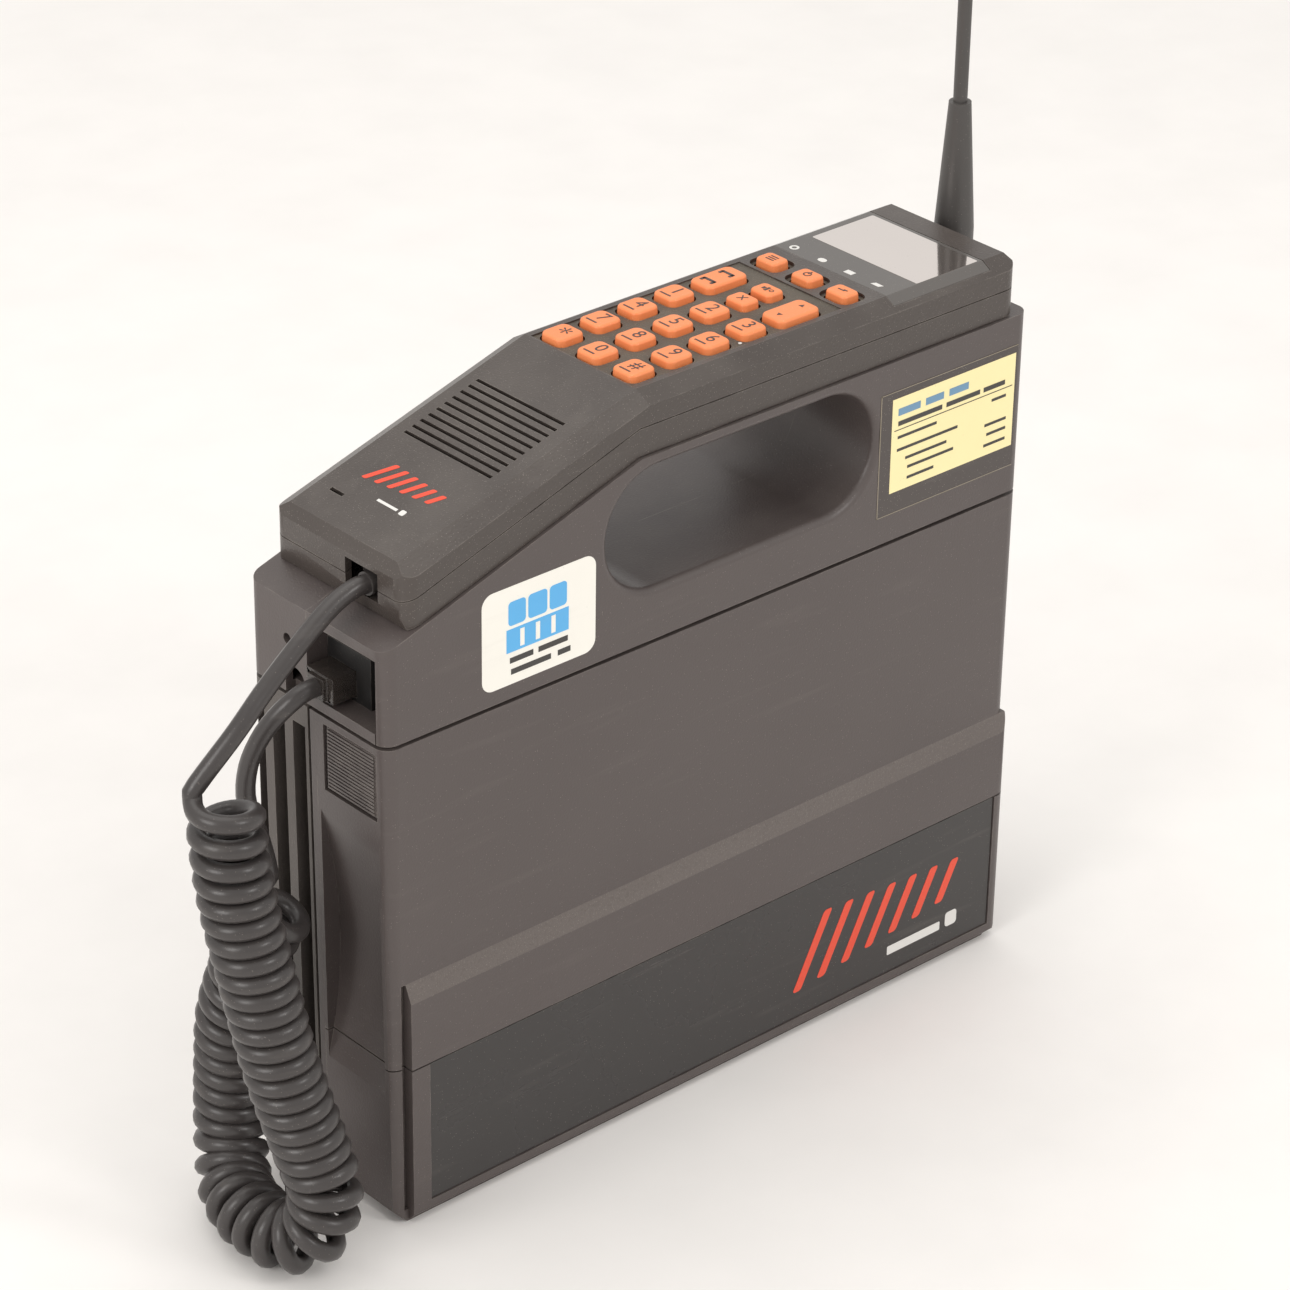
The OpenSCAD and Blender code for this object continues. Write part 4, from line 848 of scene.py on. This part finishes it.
def print_hands_free(ink):
    """A small loudspeaker."""
    add_plate(ink, -1.2 * MM, 0, 1.1 * MM, 1.3 * MM, PRINT)
    add_plate(ink, 0.1 * MM, 0, 0.9 * MM, 2.5 * MM, PRINT)
    add_ring(ink, 1.9 * MM, 0, 0.8 * MM, 0.3 * MM, PRINT)


def print_memory(ink):
    for i in (-1, 0, 1):
        add_plate(ink, 0, i * 1.1 * MM, 3.2 * MM, 0.5 * MM, PRINT)


def print_power(ink):
    add_ring(ink, 0, 0, 1.35 * MM, 0.42 * MM, PRINT)
    add_plate(ink, 0, 1.1 * MM, 0.42 * MM, 1.7 * MM, PRINT * 1.2)


def print_send(ink):
    """Two short strokes."""
    add_plate(ink, -0.4 * MM, 0, 2.6 * MM, 0.5 * MM, PRINT)
    add_plate(ink, 0.9 * MM, 0.5 * MM, 1.5 * MM, 0.5 * MM, PRINT * 1.2)


KEY_PRINTS = {"star": print_star, "hash": print_hash, "call": print_call, "arrows": print_arrows,
              "clear": print_clear, "hands_free": print_hands_free, "memory": print_memory,
              "power": print_power, "send": print_send}


def build_keys():
    """Each key's cap rides on its own body, with its print."""
    for node in frame["nodes"]:
        if not node.startswith("key_"):
            continue
        sign = node[len("key_"):]
        low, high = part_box(node)
        dress(key_cap(node, low, high), "orange_keys")
        ink = bmesh.new()
        if sign in KEY_PRINTS:
            KEY_PRINTS[sign](ink)
        else:
            print_digit(ink, sign)
        place = on_the_level((low.x + high.x) / 2, (low.y + high.y) / 2, high.z - 0.01 * MM)
        put("print_on_" + node, ink, place, node, "key_ink")


# ---- marks and stickers -----------------------------------------------------------------

def slanted_bars(shape, count, step, height, width, rise, lean):
    """A row of leaning bars that shrink along the row, the generic mark of this telephone."""
    for i in range(count):
        shrunk = 1 - 0.45 * i / (count - 1)
        add_plate(shape, i * step, i * rise, width, height * shrunk, PRINT, corner=width * 0.3, slant=lean)


def build_marks():
    """The red bars and the small white bar, on the handset and on the panel."""
    red = bmesh.new()
    slanted_bars(red, 6, 4.6 * MM, 9 * MM, 1.9 * MM, 0.1 * MM, 0.55)
    put("handset_mark", red, on_the_slope(-90 * MM, 11 * MM), "handset", "red_ink")
    white = bmesh.new()
    add_plate(white, 0, 0, 8.4 * MM, 0.9 * MM, PRINT)
    add_plate(white, 6.4 * MM, 0.1 * MM, 2.0 * MM, 2.0 * MM, PRINT, corner=0.5 * MM)
    put("handset_maker_bar", white, on_the_slope(-98.2 * MM, -2 * MM), "handset", "pale_ink")
    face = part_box("label_panel")[0].y
    pack = body_of_node("label_panel")
    red = bmesh.new()
    slanted_bars(red, 7, 9.6 * MM, 25 * MM, 3.4 * MM, 0.3 * MM, 0.5)
    put("panel_mark", red, on_the_front(40 * MM, 27.5 * MM, face), pack, "red_ink")
    white = bmesh.new()
    add_plate(white, 0, 0, 23 * MM, 3.1 * MM, PRINT, corner=0.4 * MM)
    add_plate(white, 16.4 * MM, 0.9 * MM, 5.0 * MM, 5.2 * MM, PRINT, corner=1.2 * MM)
    put("panel_maker_bar", white, on_the_front(84 * MM, 13.6 * MM, face), pack, "pale_ink")


def build_number_sticker():
    """A white sticker with a blue sign and two rows of dark bars."""
    x, z = -68 * MM, 178 * MM
    paper = bmesh.new()
    add_plate(paper, 0, 0, 41 * MM, 30.4 * MM, PRINT, corner=3.8 * MM)
    put("number_sticker", paper, on_the_front(x, z), "base", "white_paper")
    blue = bmesh.new()
    for i, wide in ((-1, 6.2), (0, 6.8), (1, 6.2)):
        add_plate(blue, i * 7.4 * MM, 5.9 * MM, wide * MM, 7.4 * MM, PRINT, corner=1.2 * MM, lift=PRINT)
    add_plate(blue, 0, -2.4 * MM, 22.4 * MM, 7.2 * MM, PRINT, lift=PRINT)
    put("number_sticker_blue", blue, on_the_front(x - 0.6 * MM, z + 0.8 * MM), "base", "blue_ink")
    bars = bmesh.new()
    for i in (-1, 0, 1):
        add_plate(bars, i * 5.6 * MM, 0, 1.5 * MM, 5.4 * MM, PRINT, lift=2 * PRINT)
    put("number_sticker_bars", bars, on_the_front(x - 0.6 * MM, z - 1.6 * MM), "base", "white_paper")
    rows = (((-6.8, 8.4), (4.6, 10.6)), ((-3.4, 14.4), (8.6, 4.6)))
    lines = bmesh.new()
    for row, parts in enumerate(rows):
        for across_it, wide in parts:
            add_plate(lines, across_it * MM, -row * 3.6 * MM, wide * MM, 1.7 * MM, PRINT, lift=PRINT)
    put("number_sticker_lines", lines, on_the_front(x + 0.4 * MM, z - 7.8 * MM), "base", "dark_ink")


def build_tape():
    """The clear tape over the tariff label, with its pale cut edges."""
    place = on_the_front(89.9 * MM, 187 * MM)
    wide, tall, inset = 56.6 * MM, 40 * MM, 0.2 * MM
    film = bmesh.new()
    add_plate(film, 0, 0, wide, tall, PRINT, corner=0.3 * MM)
    put("clear_tape", film, place, "base", "tape")
    frayed = bmesh.new()
    for side in (-1, 1):
        add_plate(frayed, 0, side * (tall / 2 - inset), wide, 0.25 * MM, PRINT, lift=0.4 * PRINT)
    add_plate(frayed, inset - wide / 2, 0, 0.35 * MM, tall, PRINT, lift=0.4 * PRINT)
    put("clear_tape_edge", frayed, place, "base", "tape_edge")


def build_tariff_label():
    """A yellow card under the tape: a blue heading, a rule and rows of dark bars, with no wording."""
    place = on_the_front(91.9 * MM, 189.2 * MM)
    card = bmesh.new()
    add_plate(card, 0, 0, 51 * MM, 30.4 * MM, PRINT, lift=PRINT)
    put("tariff_label", card, place, "base", "yellow_paper")
    head = bmesh.new()
    for x, wide in ((-18.6, 9), (-8.2, 7.4), (1.8, 8)):
        add_plate(head, x * MM, 10.6 * MM, wide * MM, 2.3 * MM, PRINT, lift=2 * PRINT)
    put("tariff_label_heading", head, place, "base", "blue_ink_faded")
    bold_row = (6.9, ((-14, 18), (3.8, 14), (16.8, 9)))
    rows = ((2.4, ((-15, 16), (19, 6))), (-1.7, ((-10.6, 25),)), (-5.2, ((-11, 17), (18, 9))),
            (-8.4, ((-9, 19), (18.5, 8))), (-11.9, ((-13, 11), (18, 9))))
    lines = bmesh.new()
    for z, parts in (bold_row,) + rows:
        tall = 1.5 * MM if z == bold_row[0] else 0.9 * MM
        for x, wide in parts:
            add_plate(lines, x * MM, z * MM, wide * MM, tall, PRINT, lift=2 * PRINT)
    add_plate(lines, 0, 4.9 * MM, 49 * MM, 0.25 * MM, PRINT, lift=2 * PRINT)
    put("tariff_label_lines", lines, place, "base", "dark_ink")


# ---- the plug, the body and the release button --------------------------------------------

CONTACTS, CONTACT_PITCH = 8, 1.02 * MM


def build_plug():
    """The clear plug with its gold contacts."""
    low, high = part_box("modular_plug")
    dress(softened("modular_plug", 0.3 * MM, 2, 30), "clear_plastic")
    blades = bmesh.new()
    for i in range(CONTACTS):
        y = (low.y + high.y) / 2 + (i - (CONTACTS - 1) / 2) * CONTACT_PITCH
        made = bmesh.ops.create_cube(blades, size=1)["verts"]
        bmesh.ops.scale(blades, vec=(5.5 * MM, 0.45 * MM, 1.2 * MM), verts=made)
        bmesh.ops.translate(blades, vec=(high.x - 3.2 * MM, y, high.z - 0.4 * MM), verts=made)
    piece = new_object("plug_contacts", blades, "base")
    piece.data.materials.append(finish_for("brass_contacts"))


def on_the_ledge(face):
    """The narrow sloping face above the battery's lower band, which is given the lighter ledge finish as a
    painted highlight.
    """
    return (face.normal.y < -0.3 and face.normal.z > 0.2 and 70 * MM < face.center.z < 84 * MM
            and face.area > 20 * MM * MM)


def build_body():
    """The housings and the battery pack with rounded outer corners, and the rest with softer edges."""
    for node in ("upper_front_housing", "upper_rear_housing"):
        dress(softened(node, 0.25 * MM, 2, 32, [(rim_of_body, 0.8 * MM, 3)]), "grey_plastic")
    for node in ("battery_front_shell", "battery_lower_cover"):
        piece = dress(softened(node, 0.25 * MM, 2, 32, [(rim_of_body, 0.9 * MM, 3)]), "grey_plastic")
        # painted highlight: the ledge faces get a lighter grey than the body for the light that they catch.
        paint(piece, "rough_ledge", on_the_ledge)
    for node, width, segments in (("battery_back_plate", 0.4 * MM, 2), ("heatsink_case", 0.5 * MM, 2),
                                  ("release_button", 0.12 * MM, 1), ("label_panel", 0.2 * MM, 2)):
        dress(softened(node, width, segments, 32), SLOT_OF[node])


def build_release_spring():
    """A welded copy of the release spring, in its slot's finish and with a mesh of its own."""
    node = "release_spring"
    spring = dress(new_object(node + "_finished", copy_of(node), body_of_node(node), node), SLOT_OF[node])
    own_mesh(spring)


# ---- build ------------------------------------------------------------------------------

SLOT_OF = {part["node"]: part["material_slot"] for part in frame["record"]["subparts"]}
place_camera()
light_the_table()
lay_the_floor()

for node, piece in frame["nodes"].items():
    piece.data.materials.clear()
    piece.data.materials.append(finish_for(SLOT_OF[node]))

lay_the_cord()
build_shells()
build_display()
build_keys()
build_marks()
build_number_sticker()
build_tape()
build_tariff_label()
build_plug()
build_body()
build_release_spring()
